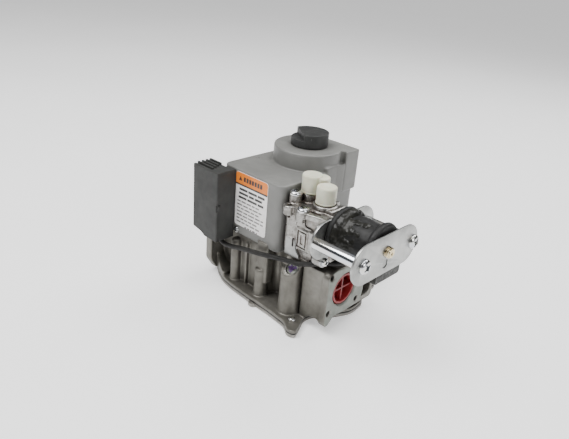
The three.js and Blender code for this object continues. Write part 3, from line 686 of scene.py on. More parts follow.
def make_body():
    low = RIM_TOP - 1
    big_boss = combine("big_boss", [
        lathe([(0, 0), (8.6, 0), (8, 4, 2), (7.8, 12), (7.8, DECK - low), (0, DECK - low)],
              "z", (*BIG_BOSS, low), 64),
    ], [turned(block(-20, 20, -20, 20, 0, 20), TAP_FACE)])
    sweep_wall = combine("sweep_wall", [
        slab([(-60, -29), (-60, -33.4, 3), (-50.7, -39.6, 4), (-39.5, -44.6, 3), (-39.5, -29)], low, 25),
    ], [rod(16.5, -50, -25, "y", (-40.5, 0, 24.9), 96)])
    parts = [
        slab(RIM_OUTLINE, SEAL.z1, RIM_TOP, "z", 0.5),
        slab(BLOCK_OUTLINE, low, DECK, "z", 0.3),
        slab([(33, low), (37.5, low), (44, 10.6, 4), (51, 9.2), (51, DECK - 1.5), (33, DECK - 1.5)],
             -36.8, -32, "y"),
        block(33, 51, -34, 2, 12.6, DECK - 1.5),
        slab(FLANGE_OUTLINE, 50.1, BODY.x1, "x", 0.7),
        slab([(-2, 9.4, 2), (19.4, 9.4, 3), (19.4, 24, 3), (13.5, 28.6, 3), (-2, 30, 2)], 34, 54, "x"),
        slab([(-43.8, 12.8, 2), (-38, 3.6, 1), (8, 3.6, 3), (8, 40.6, 3.5), (-43.8, 40.6, 3.5)],
             BODY.x0, -55.5, "x", 0.7),
        along_x(16.4, BODY.x0 + 0.4, -40, INLET, 72),
        boss(-32.4, -38.2, 4.1, 35),
        boss(-4, -39, 4.9, 23),
        prism(rectangle(-21.8, -19.6, -39.6, -32, 0.9), low, 40, "z", 0.6),
        prism(rectangle(-9.2, 2.2, -41.0, -32, 3), low + 12, DECK, "z", 1.0),
    ]
    parts += [boss(x, 38, 3.6, DECK - low - 4) for x in (-34, -14, 6, 26)]
    hollows = [
        upright(11.4, 38.5, DECK + 1, FIRST),
        upright(8, 14, 40, FIRST),
        upright(12, 18, DECK + 1, TOWER),
        block(-40, -20, -18, 15, 19, 28),
        upright(20, SEAL.z1 - 1, 9, MAIN),
        upright(9, 8, 14, MAIN),
        upright(14, 12, 30, MAIN),
        slab([(4.9, 13.6, 1), (14, 13.6, 2), (16.4, 17, 2), (16.4, 22.5, 2), (12, 26, 2), (4.9, 26.6, 1)],
             46.5, 55, "x"),
    ]
    obj = combine("cast_body", parts, hollows)
    shape(obj, [big_boss, sweep_wall])
    soften(obj, 0.5, 4, 0.4)
    half_y, half_z = FLANGE_PITCH[0] / 2, FLANGE_PITCH[1] / 2
    cuts = [
        threaded_bore(BODY.x1, 1, OUTLET),
        threaded_bore(BODY.x0, -1, INLET),
        turned(lathe([(0, 2), (5, 2), (5, 0), (4.6, -0.5), (4.6, -7.5), (0, -7.5)], "z", (0, 0, 0)),
               TAP_FACE),
        upright(1.95, 0, 8, LUG, 24),
        *screw_holes(1.9, 0, RIM_TOP - 0.3),
    ]
    for i, j in ((-1, 1), (-1, -1), (1, -1), (1, 1)):
        at = (BODY.x1, OUTLET.cy + i * half_y, OUTLET.cz + j * half_z)
        cuts.append(lathe([(0, 1), (2.7, 1), (2.7, 0), (2.1, -0.6), (2.1, -10), (0, -11)], "x", at, 32))
    carve(obj, cuts)
    finish_piece(obj, CAST, ["valve_body"], 32)
    bore_reach = PORT_R + 1.2
    region(obj, MACHINED, lambda c, n: (
        (c.x > BODY.x1 - 0.12 and n.x > 0.9)
        or (c.x < BODY.x0 + 0.12 and n.x < -0.9)
        or (c.x > 20 and math.hypot(c.y - OUTLET.cy, c.z - OUTLET.cz) < bore_reach)
        or (c.x < -26 and math.hypot(c.y - INLET.cy, c.z - INLET.cz) < bore_reach)
    ))


def make_base():
    obj = combine("base_casting", [
        slab(RIM_OUTLINE, PLATE.z0, PLATE.z1, "z", 0.55),
        lathe([(0, PLATE.z0), (3.6, PLATE.z0, 0.6), (3.6, PLATE.z1, 0.6), (0, PLATE.z1)], "z",
              (-2, -47.6, 0), 48),
    ], [
        upright(21, 1.2, 3, MAIN, 96),
        *screw_holes(1.9, -1, 5),
        *[upright(3.6, -1, 1.3, s, 32) for s in BASE_SCREWS],
        upright(1.9, -1, 5, LUG, 24),
    ])
    finish_piece(obj, BASE, ["base_plate"], 30)
    seal = combine("seal_sheet", [prism(inset(rounded(RIM_OUTLINE), 0.25), SEAL.z0, SEAL.z1, "z", 0.1)], [
        *screw_holes(1.9, 0, 5),
        upright(1.9, 0, 5, LUG, 24),
    ])
    finish_piece(seal, RUBBER, ["diaphragm_sheet"], 30)
    for i, s in enumerate(BASE_SCREWS, 1):
        radius = (s.x1 - s.x0) / 2
        screw = combine(f"bottom_screw_{i}", [
            standing([(0, s.z0), (radius, s.z0, 0.4), (radius, 1.2), (1.6, 1.2), (1.6, s.z1, 0.4), (0, s.z1)],
                     s, 40),
        ], [block(s.cx - 2.3, s.cx + 2.3, s.cy - 0.4, s.cy + 0.4, -1, 0.7)])
        finish_piece(screw, SCREW, [f"base_screw_{i}"], 35)


def cross_tool(size, width, low, high, axis, at, turn):
    """A cross recess, turned about its own axis."""
    outline = []
    for quarter in range(4):
        outline += spin([(size, -width), (size, width), (width, width)], turn + quarter * math.pi / 2)
    return turned(prism(outline, low, high, axis), Matrix.Translation(at))


def pan_screw(name, node, head_r, head_h, shank_r, length, axis, at, turn):
    """A pan-head screw with a cross recess; at is the seat of its head."""
    obj = combine(name, [
        lathe([
            (0, -length), (shank_r, -length, 0.3), (shank_r, 0), (head_r, 0),
            (head_r, head_h * 0.42, head_h * 0.18), (head_r * 0.8, head_h * 0.86, head_h * 0.3),
            (head_r * 0.4, head_h, 0.5), (0, head_h),
        ], axis, at, 56),
    ], [
        cross_tool(head_r * 0.6, head_r * 0.13, head_h * 0.42, head_h + 1, axis, at, turn),
        cross_tool(head_r * 0.36, head_r * 0.22, head_h * 0.3, head_h + 1, axis, at, turn),
    ])
    finish_piece(obj, SCREW, [node], 40)


def make_tap_plug():
    obj = combine("tap_plug", [
        turned(lathe([(0, -7.2), (4.4, -7.2, 0.3), (4.4, -0.6, 0.6), (0, -0.6)], "z", (0, 0, 0)), TAP_FACE),
    ], [turned(prism(circle(2.2, 6), -3.8, 1, "z"), TAP_FACE)])
    finish_piece(obj, MACHINED, ["pressure_tap_plug"], 35)
    strokes = []
    for angle, shift, reach in ((0.3, 0.6, 3.6), (1.35, -0.9, 3.3), (1.75, 1.5, 2.6)):
        stroke = spin(rectangle(-reach, reach, shift - 0.75, shift + 0.75, 0.7, 4), angle)
        strokes.append(turned(prism(stroke, -0.7, -0.42, "z", 0.08), TAP_FACE))
    finish_piece(combine("tap_paint_mark", strokes), VIOLET, (), 30)


def make_protector(name, node, port, inward):
    """A push-in thread protector: a cup with a cross web, and a vent hole in its floor."""
    start = port.x1 if inward > 0 else port.x0
    radius = PORT_R - 0.72
    at = (start, port.cy, port.cz)
    rim, vent, floor, depth = radius - 1.7, 0.9, 9.6, 13.0
    profile = [
        (rim, 0, 0.3), (radius, 0, 0.5), (radius, depth, 0.8), (vent, depth, 0.2), (vent, floor, 0.2),
        (rim - 0.2, floor, 0.8),
    ]
    cup = lathe([(r, -h * inward, reach) for r, h, reach in profile], "x", at, 72)
    ends = sorted((start - 1.6 * inward, start - 10.6 * inward))
    reach = radius - 0.9
    parts = [cup]
    for u, v in ((0.7, reach), (reach, 0.7)):
        web = rectangle(port.cy - u, port.cy + u, port.cz - v, port.cz + v, 0.3)
        parts.append(prism(web, *ends, "x", 0.3))
    obj = combine(name, parts)
    finish_piece(obj, RED, [node], 40, node)


# ------------------------------------------------------------------ cover and knob
def tower_outline(radius, back):
    """The round tower, cut flat at the back."""
    return [Vector((p.x, min(p.y, back))) for p in circle(radius, 120, (TOWER.cx, TOWER.cy))]


def make_cover():
    x1 = COVER.x1 - 1.4
    top = COVER.z1 - 12.8
    wall, tower_r = 2.0, 26
    back = COVER.y1
    parts = [
        prism(rectangle(COVER.x0, x1, COVER.y0, back, 6, 10), COVER.z0, top, "z", 1.3, 4),
        prism(tower_outline(tower_r, back), top - 4, COVER.z1, "z", 1.0, 4),
        prism(rectangle(TOWER.cx, COVER.x1, 24, back, 1.5), top - 18, COVER.z1, "z", 0.8),
        prism(rectangle(-8, x1, 5, 30, 2), top - 4, top + 4.2, "z", 1.2),
        slab([(x1 - 2, 16), (x1, 16, 8), (COVER.x1 - 0.2, 24.6, 2), (x1 - 2, 24.6)], top - 17.5, top + 3.6),
    ]
    cuts = [
        prism(rectangle(COVER.x0 + wall, x1 - wall, COVER.y0 + wall, back - wall, 4), COVER.z0 - 1,
              top - wall),
        prism(tower_outline(tower_r - wall, back - wall), top - 5, COVER.z1 - wall),
        rod(2.3, top + 3.6, COVER.z1 + 1, "z", (9.4, 23.4, 0), 32),
    ]
    obj = combine("cover_shell", parts, cuts)
    soften(obj, 0.5, 6, 0.35)
    carve(obj, [
        upright(4.4, COVER.z1 - 4, COVER.z1 + 3, TOWER),
        lathe([(0, 1), (2.0, 1), (1.7, -0.2), (0, -0.9)], "z", (-41.4, -12.6, top), 40),
        rod(1.75, -45, -37, "y", (-31.4, 0, 47.6), 32),
    ])
    finish_piece(obj, PAINT, ["cover_housing"], 32)
    screw = Span("cover_screw")
    head = combine("cover_screw_head", [
        lathe([(0, -1.7), (1.2, -1.7), (2.2, -1.0, 0.4), (2.4, 0, 0.2), (1.5, 0), (1.5, 2.4), (0, 2.4)],
              "y", (screw.cx, COVER.y0, screw.cz), 48),
    ], [
        block(screw.cx - 2.6, screw.cx + 2.6, screw.y0 - 1, screw.y0 + 0.8, screw.cz - 0.35, screw.cz + 0.35),
    ])
    finish_piece(head, SCREW, ["cover_screw"], 35)


def make_knob():
    """A round knob with one flat side above its skirt."""
    radius, height, skirt, flat, turn = 13.9, 10, 5.3, 7.2, math.radians(-124.3)
    at = (TOWER.cx, TOWER.cy, Span("knob").z0)
    obj = combine("knob_grip", [
        lathe([(0, 0), (radius, 0, 0.4), (radius, height, 0.6), (0, height)], "z", at, 128),
    ], [
        turned(block(flat, 30, -20, 20, skirt, 30), Matrix.Translation(at) @ Matrix.Rotation(turn, 4, "Z")),
    ])
    soften(obj, 0.24, 3, 0.5)
    carve(obj, [rod(3.25, -1, 7.4, "z", at)])
    finish_piece(obj, KNOB_PLASTIC, ["knob"], 38, "knob")


# ------------------------------------------------------------------ connector and label
def make_connector():
    k = Span("connector_housing")
    fin_top = k.z1
    top = fin_top - 2
    fins = [
        block(k.x0, k.x0 + 17 - 1.5 * i, k.y0 + 3.6 + 3.6 * i, k.y0 + 5.2 + 3.6 * i, top - 0.5, fin_top, 0.3)
        for i in range(4)
    ]
    obj = combine("connector_shell", [
        prism(rectangle(k.x0, k.x1, k.y0, k.y1, 0.9), k.z0, top, "z", 0.45),
        prism(rectangle(k.x0, k.x1, k.y0, k.y0 + 2.4, 0.6), top - 2, fin_top - 0.8, "z", 0.5),
        block(k.x1 - 9, k.x1 - 0.3, k.y0 + 0.4, k.y1, top - 1, fin_top - 0.8, 0.4),
        *fins,
    ], [
        block(k.x0 - 1, k.x0 + 13, k.y0 + 3, k.y1 - 3, k.z0 + 8, top - 6),
        block(k.x1 - 1.1, k.x1 + 1, k.y0 - 1, k.y0 + 1.6, 64, 70),
        block(k.x1 - 1.1, k.x1 + 1, k.y0 + 1, k.y0 + 3.4, 68.4, 70),
        slab([(k.x0 - 1, k.z0 - 1), (-46, k.z0 - 1), (-52, k.z0 + 2.4), (k.x0 - 1, k.z0 + 4.2)],
             -60, -38, "y"),
        rod(2.0, k.z0 - 1, k.z0 + 6, "z", (-42.5, -46.4, 0), 32),
    ])
    soften(obj, 0.3, 2, 0.35)
    finish_piece(obj, CHARCOAL, ["connector_housing"], 34)
    for i in (1, 2, 3):
        t = Span(f"terminal_{i}")
        pin = combine(f"terminal_pin_{i}", [block(t.x0, t.x1, t.y0, t.y1, t.z0, t.z1, 0.25)])
        finish_piece(pin, BRASS, [f"terminal_{i}"], 35)


def bar(x0, x1, z0, z1, y):
    """A printed bar, a hair thick."""
    return prism(rectangle(x0, x1, z0, z1, 0.35, 2), y - 0.03, y + 0.02, "y")


def make_label():
    """A blank label: a film with an orange band, a triangle and rows of plain bars."""
    tag = Span("label_plate")
    film = prism(rectangle(tag.x0, tag.x1, tag.z0, tag.z1, 2.5, 10), tag.y0, tag.y1, "y", 0.12)
    finish_piece(raw("label_film", film), FILM, ["label_plate"], 30)
    split = tag.z1 - 8.5
    left, right, top = tag.x0 + 0.1, tag.x1 - 0.1, tag.z1 - 0.1
    y = tag.y0 - 0.04
    band = slab([(left, split), (right, split), (right, top, 2.4), (left, top, 2.4)], y, tag.y0 + 0.1,
                "y", 0.02)
    finish_piece(raw("label_band", band), ORANGE, (), 30)
    rule = prism(rectangle(left, right, split - 1.25, split), y, tag.y0 + 0.1, "y")
    finish_piece(raw("label_rule", rule), BLACK_INK, (), 30)
    low, high = tag.z1 - 6.1, tag.z1 - 2.7
    marks = [bar(tag.x0 + 8 + 2.75 * i, tag.x0 + 10.1 + 2.75 * i, low, high, y) for i in range(7)]
    triangle = [(tag.x0 + 3, low), (tag.x0 + 6.4, low), (tag.x0 + 4.7, high)]
    marks.append(slab(triangle, y - 0.03, y + 0.02, "y"))
    width = tag.x1 - tag.x0
    draw = random.Random(5)
    bold, fine = [], []
    row_z = split - 3.9
    for row in range(11):
        heading = row < 3
        gap, words, share_of_width, thick = (3.1, 3, 0.8, 0.85) if heading else (2.7, 5, 0.88, 0.55)
        length = width * share_of_width * draw.uniform(0.86, 1.0)
        x = tag.cx - length / 2 if heading else tag.x0 + 2.2
        if row == 10:
            x = tag.x0 + 11
            length = width * 0.45
        for _ in range(words):
            share = draw.uniform(0.7, 1.3) * length / words
            end = min(x + share - 0.8, tag.x1 - 2.5)
            (bold if heading else fine).append(bar(x, end, row_z - thick, row_z + thick, tag.y0))
            x += share
            if x > tag.x1 - 5:
                break
        row_z -= gap
    for name, solids, ink in (
        ("label_band_marks", marks, BLACK_INK),
        ("label_heading_bars", bold, BLACK_INK),
        ("label_text_bars", fine, GREY_INK),
    ):
        finish_piece(combine(name, solids), ink, (), 30)


# ------------------------------------------------------------------ regulator
def make_regulator():
    x0, x1 = Span("regulator_body").x0, REAR.x0
    low_cap, high_cap = Span("adjust_screw_low"), Span("adjust_screw_high")
    front, rear = Span("regulator_screw_front"), Span("regulator_screw_rear")
    low_ear = Span("rear_plate_screw")
    ear_at = (front.cx - 12, front.cy - 0.2, 0)
    parts = [
        slab([(x0, -35.5, 1.5), (24, -37.6, 1.5), (44, -37.6, 2), (x1, -37.6, 0.5), (x1, -14, 0.5),
              (44, -10, 2), (30, -10, 2), (30, 0, 2), (x0, 0, 2)], 49.4, 81.5, "z", 0.3),
        prism(rectangle(-50.5, -15, 64.4, 86, 5), 49.5, x1, "x", 0.6),
        along_x(4, 49.5, x1, low_ear),
        prism(rectangle(x0 + 0.6, 31, -27.4, 0, 2), DECK, 50),
        slab([(x0, -30, 2), (14, -37.5, 3), (30, -41.6, 2), (43, -38, 3), (50, -38, 1), (50, -13, 2),
              (28, -10, 3), (x0, -10, 2)], 80.5, 84.6, "z", 0.6),
        lathe([(0, 78.4), (4.3, 78.4, 0.6), (4.3, 85, 1), (0, 85)], "z", ear_at, 56),
        standing([(0, 77.5), (5, 77.5, 0.8), (5, 84.8, 0.7), (0, 84.8)], front, 56),
        standing([(0, 80), (8.6, 80), (8.6, 87.4, 0.6), (8, 88.2, 0.5), (0, 88.2)], high_cap),
        standing([(0, 80), (6.8, 80), (6.8, 89.7, 0.6), (6.2, 90.3, 0.5), (0, 90.3)], low_cap),
        standing([(0, 80), (4.6, 80), (4.2, 83, 1), (4.2, 90.4, 0.5), (0, 90.4)], rear, 56),
        slab([(17.4, 49.4, 1), (30.6, 49.4, 1), (30.6, 52, 2), (27, 56, 3), (25.4, 63, 1), (17.4, 63, 1)],
             -40.4, -36, "y", 0.6),
        slab([(17.8, 60, 1), (22.4, 60, 1), (22.4, 80, 1), (15.8, 80, 1)], -39.4, -36, "y", 0.5),
        slab([(25.2, 56.4, 0.6), (36, 56.4, 0.6), (36, 71.6, 0.6), (25.2, 71.6, 0.6)], -39, -36, "y", 0.4),
        prism(rectangle(37.4, 44.5, 58, 76, 0.8), -41, -36, "y", 0.5),
        prism(rectangle(45.6, 50.4, 64.4, 74, 0.8), -48, -36, "y", 0.5),
        slab([(36, 80), (49, 80), (46, 88, 2), (40, 87, 2)], -30, -15, "y", 0.5),
        prism(rectangle(22.6, 24.6, 62, 80, 0.5), -38.8, -36, "y", 0.4),
    ]
    cuts = [
        prism(rectangle(31, 48.5, 73.6, 80.4, 2), -42, -36.3, "y"),
        prism(rectangle(23.6, 29.4, 75.4, 80.2, 1.4), -42, -36.4, "y"),
        prism(rectangle(23.6, 25.0, 57, 73, 0.4), -42, -38.2, "y"),
        prism(rectangle(15, 22.4, 64.6, 78, 1), -37.1, -36.6, "y"),
        slab([(31, -36, 1.5), (41, -35.6, 1.5), (40.5, -32.8, 1), (32, -33.4, 1)], 82.6, 90, "z"),
        rod(1.7, 76, 90, "z", ear_at, 32),
        along_x(5, x1 - 8, x1 + 1, COIL),
        block(17, 34, -30, -14, 54, 60),
        block(39.2, 56, -41.2, -14, 49, 57.6),
    ]
    obj = combine("regulator_casting", parts, cuts)
    soften(obj, 0.36, 4, 0.4)
    grooves = [block(u0, u1, -42, floor, v0, v1) for u0, u1, v0, v1, floor in (
        (26.6, 27.9, 57.8, 70.4, -38.1), (33.4, 34.7, 57.8, 70.4, -38.1), (27.8, 33.5, 57.8, 59.1, -38.1),
        (27.8, 33.5, 69.1, 70.4, -38.1), (29.4, 32.0, 60.8, 67.6, -38.4),
    )]
    carve(obj, [
        *grooves,
        upright(4.6, 72, 93, low_cap),
        upright(4.6, 72, 93, high_cap),
        upright(1.65, 76, 86, front, 32),
        upright(1.5, 82, 92, rear, 32),
        along_x(3, 40, x1 + 1, COIL, 40),
        along_x(1.7, 48, 58, low_ear, 32),
    ])
    finish_piece(obj, ZINC, ["regulator_body"], 34)
    region(obj, SHEET, lambda c, n: 17 < c.x < 31 and c.y < -39.2 and c.z < 63)
    head_h = 2.6
    for tag, at, head_r, shank_r, length, turn in (
        ("front", front, 4.3, 1.6, 7, 0.5),
        ("rear", rear, 4.4, 1.4, 6, 0.9),
    ):
        pan_screw(f"screw_regulator_{tag}", f"regulator_screw_{tag}", head_r, head_h, shank_r, length, "z",
                  (at.cx, at.cy, at.z1 - head_h), turn)


def make_caps():
    """Hollow caps with a beaded rim; the low-fire one has a side lobe."""
    for tag, radius in (("low", 7.0), ("high", 6.8)):
        cap, screw = Span(f"cap_{tag}"), Span(f"adjust_screw_{tag}")
        at = (screw.cx, screw.cy, cap.z0)
        height = cap.z1 - cap.z0
        parts = [lathe([
            (0, 0), (radius, 0, 0.2), (radius, 1.0, 0.2), (radius - 0.35, 1.35, 0.1),
            (radius - 0.15, 1.8, 0.2), (radius, height - 1.2), (radius - 0.4, height - 0.1, 0.8), (0, height),
        ], "z", at, 80)]
        if tag == "low":
            parts.append(lathe([(0, 0), (5.6, 0, 0.5), (5.6, 8.6, 1.0), (4.4, 9.2, 0.8), (0, 9.2)], "z",
                               (screw.cx + 5.2, screw.cy + 3.8, cap.z0 + 2.4)))
        obj = combine(f"adjuster_cap_{tag}", parts)
        soften(obj, 0.22, 3, 0.4)
        carve(obj, [rod(5.3, -1, height - 1.6, "z", at, 64)])
        finish_piece(obj, IVORY, [f"cap_{tag}"], 36, f"cap_{tag}")


# ------------------------------------------------------------------ solenoid
def stadium(plate):
    """The outline of a strip with round ends."""
    radius = (plate.z1 - plate.z0) / 2
    points = []
    for centre, start in ((plate.y1 - radius, -math.pi / 2), (plate.y0 + radius, math.pi / 2)):
        for s in range(33):
            a = start + math.pi * s / 32
            points.append(Vector((centre + radius * math.cos(a), plate.z0 + radius * (1 + math.sin(a)))))
    return points


def make_plates():
    tubes = [Span(f"spacer_tube_{tag}") for tag in ("front", "back")]
    low_screw = Span("rear_plate_screw")

    def holes(x0, x1):
        return [along_x(2.1, x0, x1, t, 40) for t in tubes]

    rear_box = Span("solenoid_rear_plate")
    rear_box.z0, rear_box.z1 = FRONT.z0 - 1.4, FRONT.z1 - 1.6
    rear = combine("clamp_plate_rear", [
        prism(stadium(rear_box), REAR.x0, REAR.x1, "x", 0.25),
        lying([(0, REAR.x0), (3.9, REAR.x0, 0.3), (3.9, REAR.x1, 0.3), (0, REAR.x1)], low_screw, 56),
    ], [
        *holes(50, 60),
        along_x(4.2, 50, 60, COIL),
        along_x(1.7, 50, 60, low_screw, 32),
    ])
    finish_piece(rear, SHEET, ["solenoid_rear_plate"], 35)
    front = combine("clamp_plate_front", [prism(stadium(FRONT), FRONT.x0, FRONT.x1, "x", 0.28)], [
        *holes(88, 95),
        along_x(3.7, 88, 95, COIL),
        prism(rectangle(COIL.cy - 3.4, COIL.cy + 1.4, 69.6, 75.4, 2.2), FRONT.x1 - 0.5, 95, "x"),
    ])
    finish_piece(front, SHEET, ["solenoid_front_plate"], 35)
    for tag, turn, tube in (("front", 0.55, tubes[0]), ("back", 1.1, tubes[1])):
        outer = (tube.z1 - tube.z0) / 2
        sleeve = raw(f"spacer_sleeve_{tag}", lying([
            (2.3, tube.x0, 0.2), (outer, tube.x0, 0.3), (outer, tube.x1, 0.3), (2.3, tube.x1, 0.2),
        ], tube, 96))
        finish_piece(sleeve, TUBE, [f"spacer_tube_{tag}"], 35)
        pan_screw(f"screw_clamp_{tag}", f"clamp_screw_{tag}", 4.7, 3.0, 1.95, FRONT.x1 - REAR.x0, "x",
                  (FRONT.x1, tube.cy, tube.cz), turn)
    pan_screw("screw_rear_plate", "rear_plate_screw", 2.9, 2, 1.45, 7, "x",
              (low_screw.x1 - 2, low_screw.cy, low_screw.cz), 0.3)


def make_coil():
    """The bobbin, its uneven wound coil, and the lumps of sealing compound on it."""
    left, right = COIL.x0, COIL.x1
    bobbin = raw("coil_former", lying([
        (4.3, left), (16.2, left, 0.8), (16.7, left + 1.6, 1.2), (16.2, left + 3.8, 1.2), (5.6, left + 3.8),
        (5.6, right - 4.4), (15.8, right - 4.4, 1.2), (16.5, right - 2.4, 1.5), (15.8, right, 1.2),
        (4.3, right),
    ], COIL, 96))
    soften(bobbin, 0.4, 3, 0.6)
    warp(bobbin, 0.2, 6, 3)
    finish_piece(bobbin, BOBBIN, ["solenoid_bobbin"], 45)
    wound = Span("solenoid_winding")
    profile = [(5.7, wound.x0), (13.2, wound.x0)]
    x = wound.x0 + 1
    while x < wound.x1 - 1:
        bulge = 0.55 * math.sin(math.pi * (x - wound.x0) / (wound.x1 - wound.x0))
        profile.append((13.15 + bulge, x))
        x += 0.6
    profile += [(13, wound.x1), (5.7, wound.x1)]
    winding = raw("coil_winding", lying(profile, COIL, 120))
    warp(winding, 0.22, 7, 1)
    finish_piece(winding, TAPE, ["solenoid_winding"], 45)
    parts = [
        lying([(12.6, 60.6), (16.5, 60.6, 1.0), (16.3, 65.4, 2.4), (12.6, 67.6, 1)], COIL, 96),
        # The compound pad under the coil by the front plate is made large enough to fill the shaded gap below
        # the coil: partly compound, partly a dark block standing in for shade.
        prism(rectangle(-39, -12, 57.6, 67.4, 3.0), 83.4, FRONT.x0 - 0.3, "x", 1.0),
    ]
    draw = random.Random(11)
    squeeze = Matrix.Diagonal((1.25, 0.5, 0.95, 1))
    for _ in range(54):
        angle = math.radians(draw.uniform(-58, 70))
        along = draw.uniform(0, 1) ** 1.5
        size = draw.uniform(2.0, 3.8) * (1.0 - 0.3 * along)
        reach = 12.9 + draw.uniform(-0.5, 0.5)
        centre = (wound.x0 + 2.0 + along * 15, COIL.cy - reach * math.cos(angle),
                  COIL.cz + reach * math.sin(angle))
        ball = lathe([
            (0, -size), (size * 0.75, -size * 0.8, 0.4), (size, 0, 0.5), (size * 0.75, size * 0.8, 0.4),
            (0, size),
        ], "z", (0, 0, 0), 20)
        parts.append(turned(ball, Matrix.Translation(centre) @ Matrix.Rotation(-angle, 4, "X") @ squeeze))
    sealant = combine("coil_sealant", parts)
    soften(sealant, 0.34, 5, 0.5)
    warp(sealant, 0.35, 3.2, 5)
    finish_piece(sealant, COMPOUND, (), 60)


def make_post():
    """The core post: plain inside the coil, threaded at its outer end."""
    post = Span("solenoid_core")
    root, crest, pitch = 2.9, 3.5, 1.15
    x = post.x0 + 12
    profile = [(0, post.x0), (3.3, post.x0, 0.3), (3.3, x)]
    while x < post.x1 - 1.2:
        profile += [(root, x + 0.05), (crest, x + 0.5), (crest, x + 0.65), (root, x + 1.1)]
        x += pitch
    profile += [(root, post.x1, 0.3), (1.2, post.x1, 0.3), (0.9, post.x1 - 0.5), (0, post.x1 - 0.5)]
    obj = raw("threaded_post", lying(profile, COIL, 64))
    finish_piece(obj, POST, ["solenoid_core"], 30)


def make_lead():
    """The coil's lead, through the same points as in the CAD."""
    route = [Vector(p) for p in (
        (-42.5, -46.4, 45.6), (-42.5, -46.4, 40.6), (-40.4, -46.4, 36.6), (-35.8, -46.3, 35.5),
        (-28, -46.2, 36.7), (-18, -46, 39.2), (-8, -46, 41.2), (2, -45.3, 42.9), (12, -44.4, 44.9),
        (20, -43.2, 46.2), (27, -42.6, 47.2), (31.5, -42.3, 47.9), (36, -40.4, 48.9), (40.5, -39.4, 50.4),
        (45, -37, 52), (50, -33.4, 53.2), (55.5, -29.6, 54.2), (60, -28.2, 56.6), (63.2, -29.6, 59.6),
        (64.5, -31.4, 62.4),
    )]
    obj = raw("coil_lead_sheath", tube_along(smooth_route(route, 10), 1.75, 24))
    finish_piece(obj, SHEATH, ["coil_lead"], 40)


# ------------------------------------------------------------------ springs
def make_spring(name, node, radius, turns):
    """A coil spring filling the place of its CAD node, on a mesh of its own."""
    s = Span(node)
    wire = (s.x1 - s.x0) / 2 - radius
    points = []
    steps = round(turns * 24)
    for i in range(steps + 1):
        angle = 2 * math.pi * turns * i / steps
        z = s.z0 + wire + (s.z1 - s.z0 - 2 * wire) * i / steps
        points.append(Vector((s.cx + radius * math.cos(angle), s.cy + radius * math.sin(angle), z)))
    obj = raw(name, tube_along(points, wire * 0.96, 10))
    finish_piece(obj, SPRING, [node], 50)
    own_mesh(obj)


# ------------------------------------------------------------------ inner parts keep their CAD shape
INNER = {
    STEEL: ["shutoff_plunger", "shutoff_guide_tube", "shutoff_yoke", "deck_plate", "knob_stem",
            "solenoid_plunger", "inlet_screen"],
    SPRING: ["adjust_spring_low", "adjust_spring_high", "solenoid_spring"],
    BRASS: ["manual_valve_plug", "adjust_screw_low", "adjust_screw_high"],
    RUBBER: ["shutoff_disc"],
    BOBBIN: ["shutoff_bobbin"],
    COPPER: ["shutoff_coil"],
    BASE: ["main_poppet"],
}


def finish_inner():
    for material, names in INNER.items():
        for name in names:
            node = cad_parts[name]
            node.data.materials.clear()
            node.data.materials.append(material)


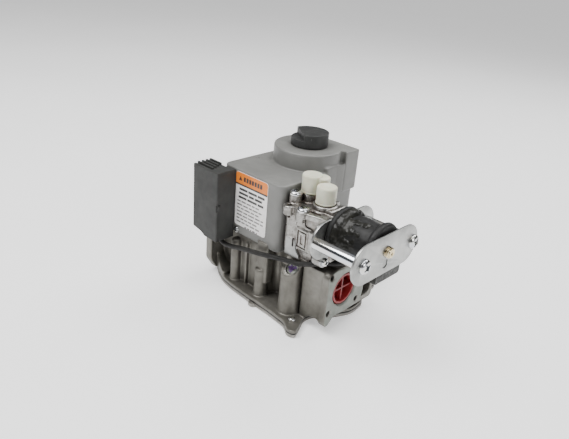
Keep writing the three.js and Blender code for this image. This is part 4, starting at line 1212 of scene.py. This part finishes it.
# ------------------------------------------------------------------ floor, light and camera
def make_studio():
    half = 12.0
    corners = [(-half, -half, 0), (half, -half, 0), (half, half, 0), (-half, half, 0)]
    mesh = bpy.data.meshes.new("studio_floor")
    mesh.from_pydata(corners, [], [(0, 1, 2, 3)])
    floor = bpy.data.objects.new("studio_floor", mesh)
    bpy.context.scene.collection.objects.link(floor)
    floor.location.z = -0.0002
    s = Shader("studio_paper", Roughness=0.9, Emission_Color=(1, 1, 1, 1), Emission_Strength=0.5)
    s.colour(s.ramp(s.noise(300, 2), (0.86, 0.86, 0.86), (0.9, 0.9, 0.9)))
    mesh.materials.append(s.material)

    world = bpy.data.worlds.new("studio")
    world.use_nodes = True
    nodes, links = world.node_tree.nodes, world.node_tree.links
    coords = nodes.new("ShaderNodeTexCoord")
    split = nodes.new("ShaderNodeSeparateXYZ")
    ramp = nodes.new("ShaderNodeValToRGB")
    links.new(coords.outputs["Generated"], split.inputs["Vector"])
    links.new(split.outputs["Z"], ramp.inputs["Fac"])
    stops = ramp.color_ramp.elements
    stops[0].position, stops[0].color = 0.0, (0.3, 0.3, 0.3, 1)
    stops[1].position, stops[1].color = 1.0, (0.5, 0.5, 0.5, 1)
    for position, level in ((0.06, 0.07), (0.42, 0.09), (0.68, 0.34)):
        stop = stops.new(position)
        stop.color = (level, level, level * 1.01, 1)
    links.new(ramp.outputs["Color"], nodes["Background"].inputs["Color"])
    nodes["Background"].inputs["Strength"].default_value = 1.0
    bpy.context.scene.world = world

    for name, place, size, power in (
        ("key", (-0.3, -0.55, 1.15), 0.75, 19.0),
        ("side", (0.95, -0.2, 0.6), 0.45, 4.5),
        ("back", (0.1, 0.8, 0.9), 0.6, 7.0),
        ("top", (0.15, 0.1, 1.2), 0.5, 5.0),
    ):
        light = bpy.data.lights.new(name, "AREA")
        light.energy = power
        light.size = size
        lamp = bpy.data.objects.new(name, light)
        bpy.context.scene.collection.objects.link(lamp)
        lamp.location = place
        lamp.rotation_mode = "QUATERNION"
        lamp.rotation_quaternion = (Vector((0, 0, 0.05)) - Vector(place)).to_track_quat("-Z", "Y")


def make_camera():
    """The view of the photo: its angles are in degrees, its place in metres."""
    heading, dip, roll = 42.02, 25.09, 4.95
    turn = Matrix.Identity(4)
    for angle, axis in ((heading, "Z"), (90 - dip, "X"), (roll, "Z")):
        turn @= Matrix.Rotation(math.radians(angle), 4, axis)
    data = bpy.data.cameras.new("camera")
    data.sensor_width = 36
    data.lens = 35.39
    data.clip_start = 0.01
    data.clip_end = 50
    camera = bpy.data.objects.new("camera", data)
    camera.matrix_world = Matrix.Translation((0.2414, -0.2912, 0.2318)) @ turn
    bpy.context.scene.collection.objects.link(camera)
    bpy.context.scene.camera = camera


make_camera()
make_studio()
make_body()
make_base()
pan_screw("screw_lug", "lug_screw", 2.6, 1.9, 1.6, 5.2, "z", (LUG.cx, LUG.cy, LUG.z1 - 1.9), 0.4)
make_tap_plug()
make_protector("outlet_protector", "outlet_plug", OUTLET, 1)
make_protector("inlet_protector", "inlet_plug", INLET, -1)
make_cover()
make_knob()
make_connector()
make_label()
make_regulator()
make_caps()
make_plates()
make_coil()
make_post()
make_lead()
make_spring("poppet_spring", "main_spring", 6.2, 5)
make_spring("plunger_spring", "shutoff_spring", 3.4, 4)
finish_inner()
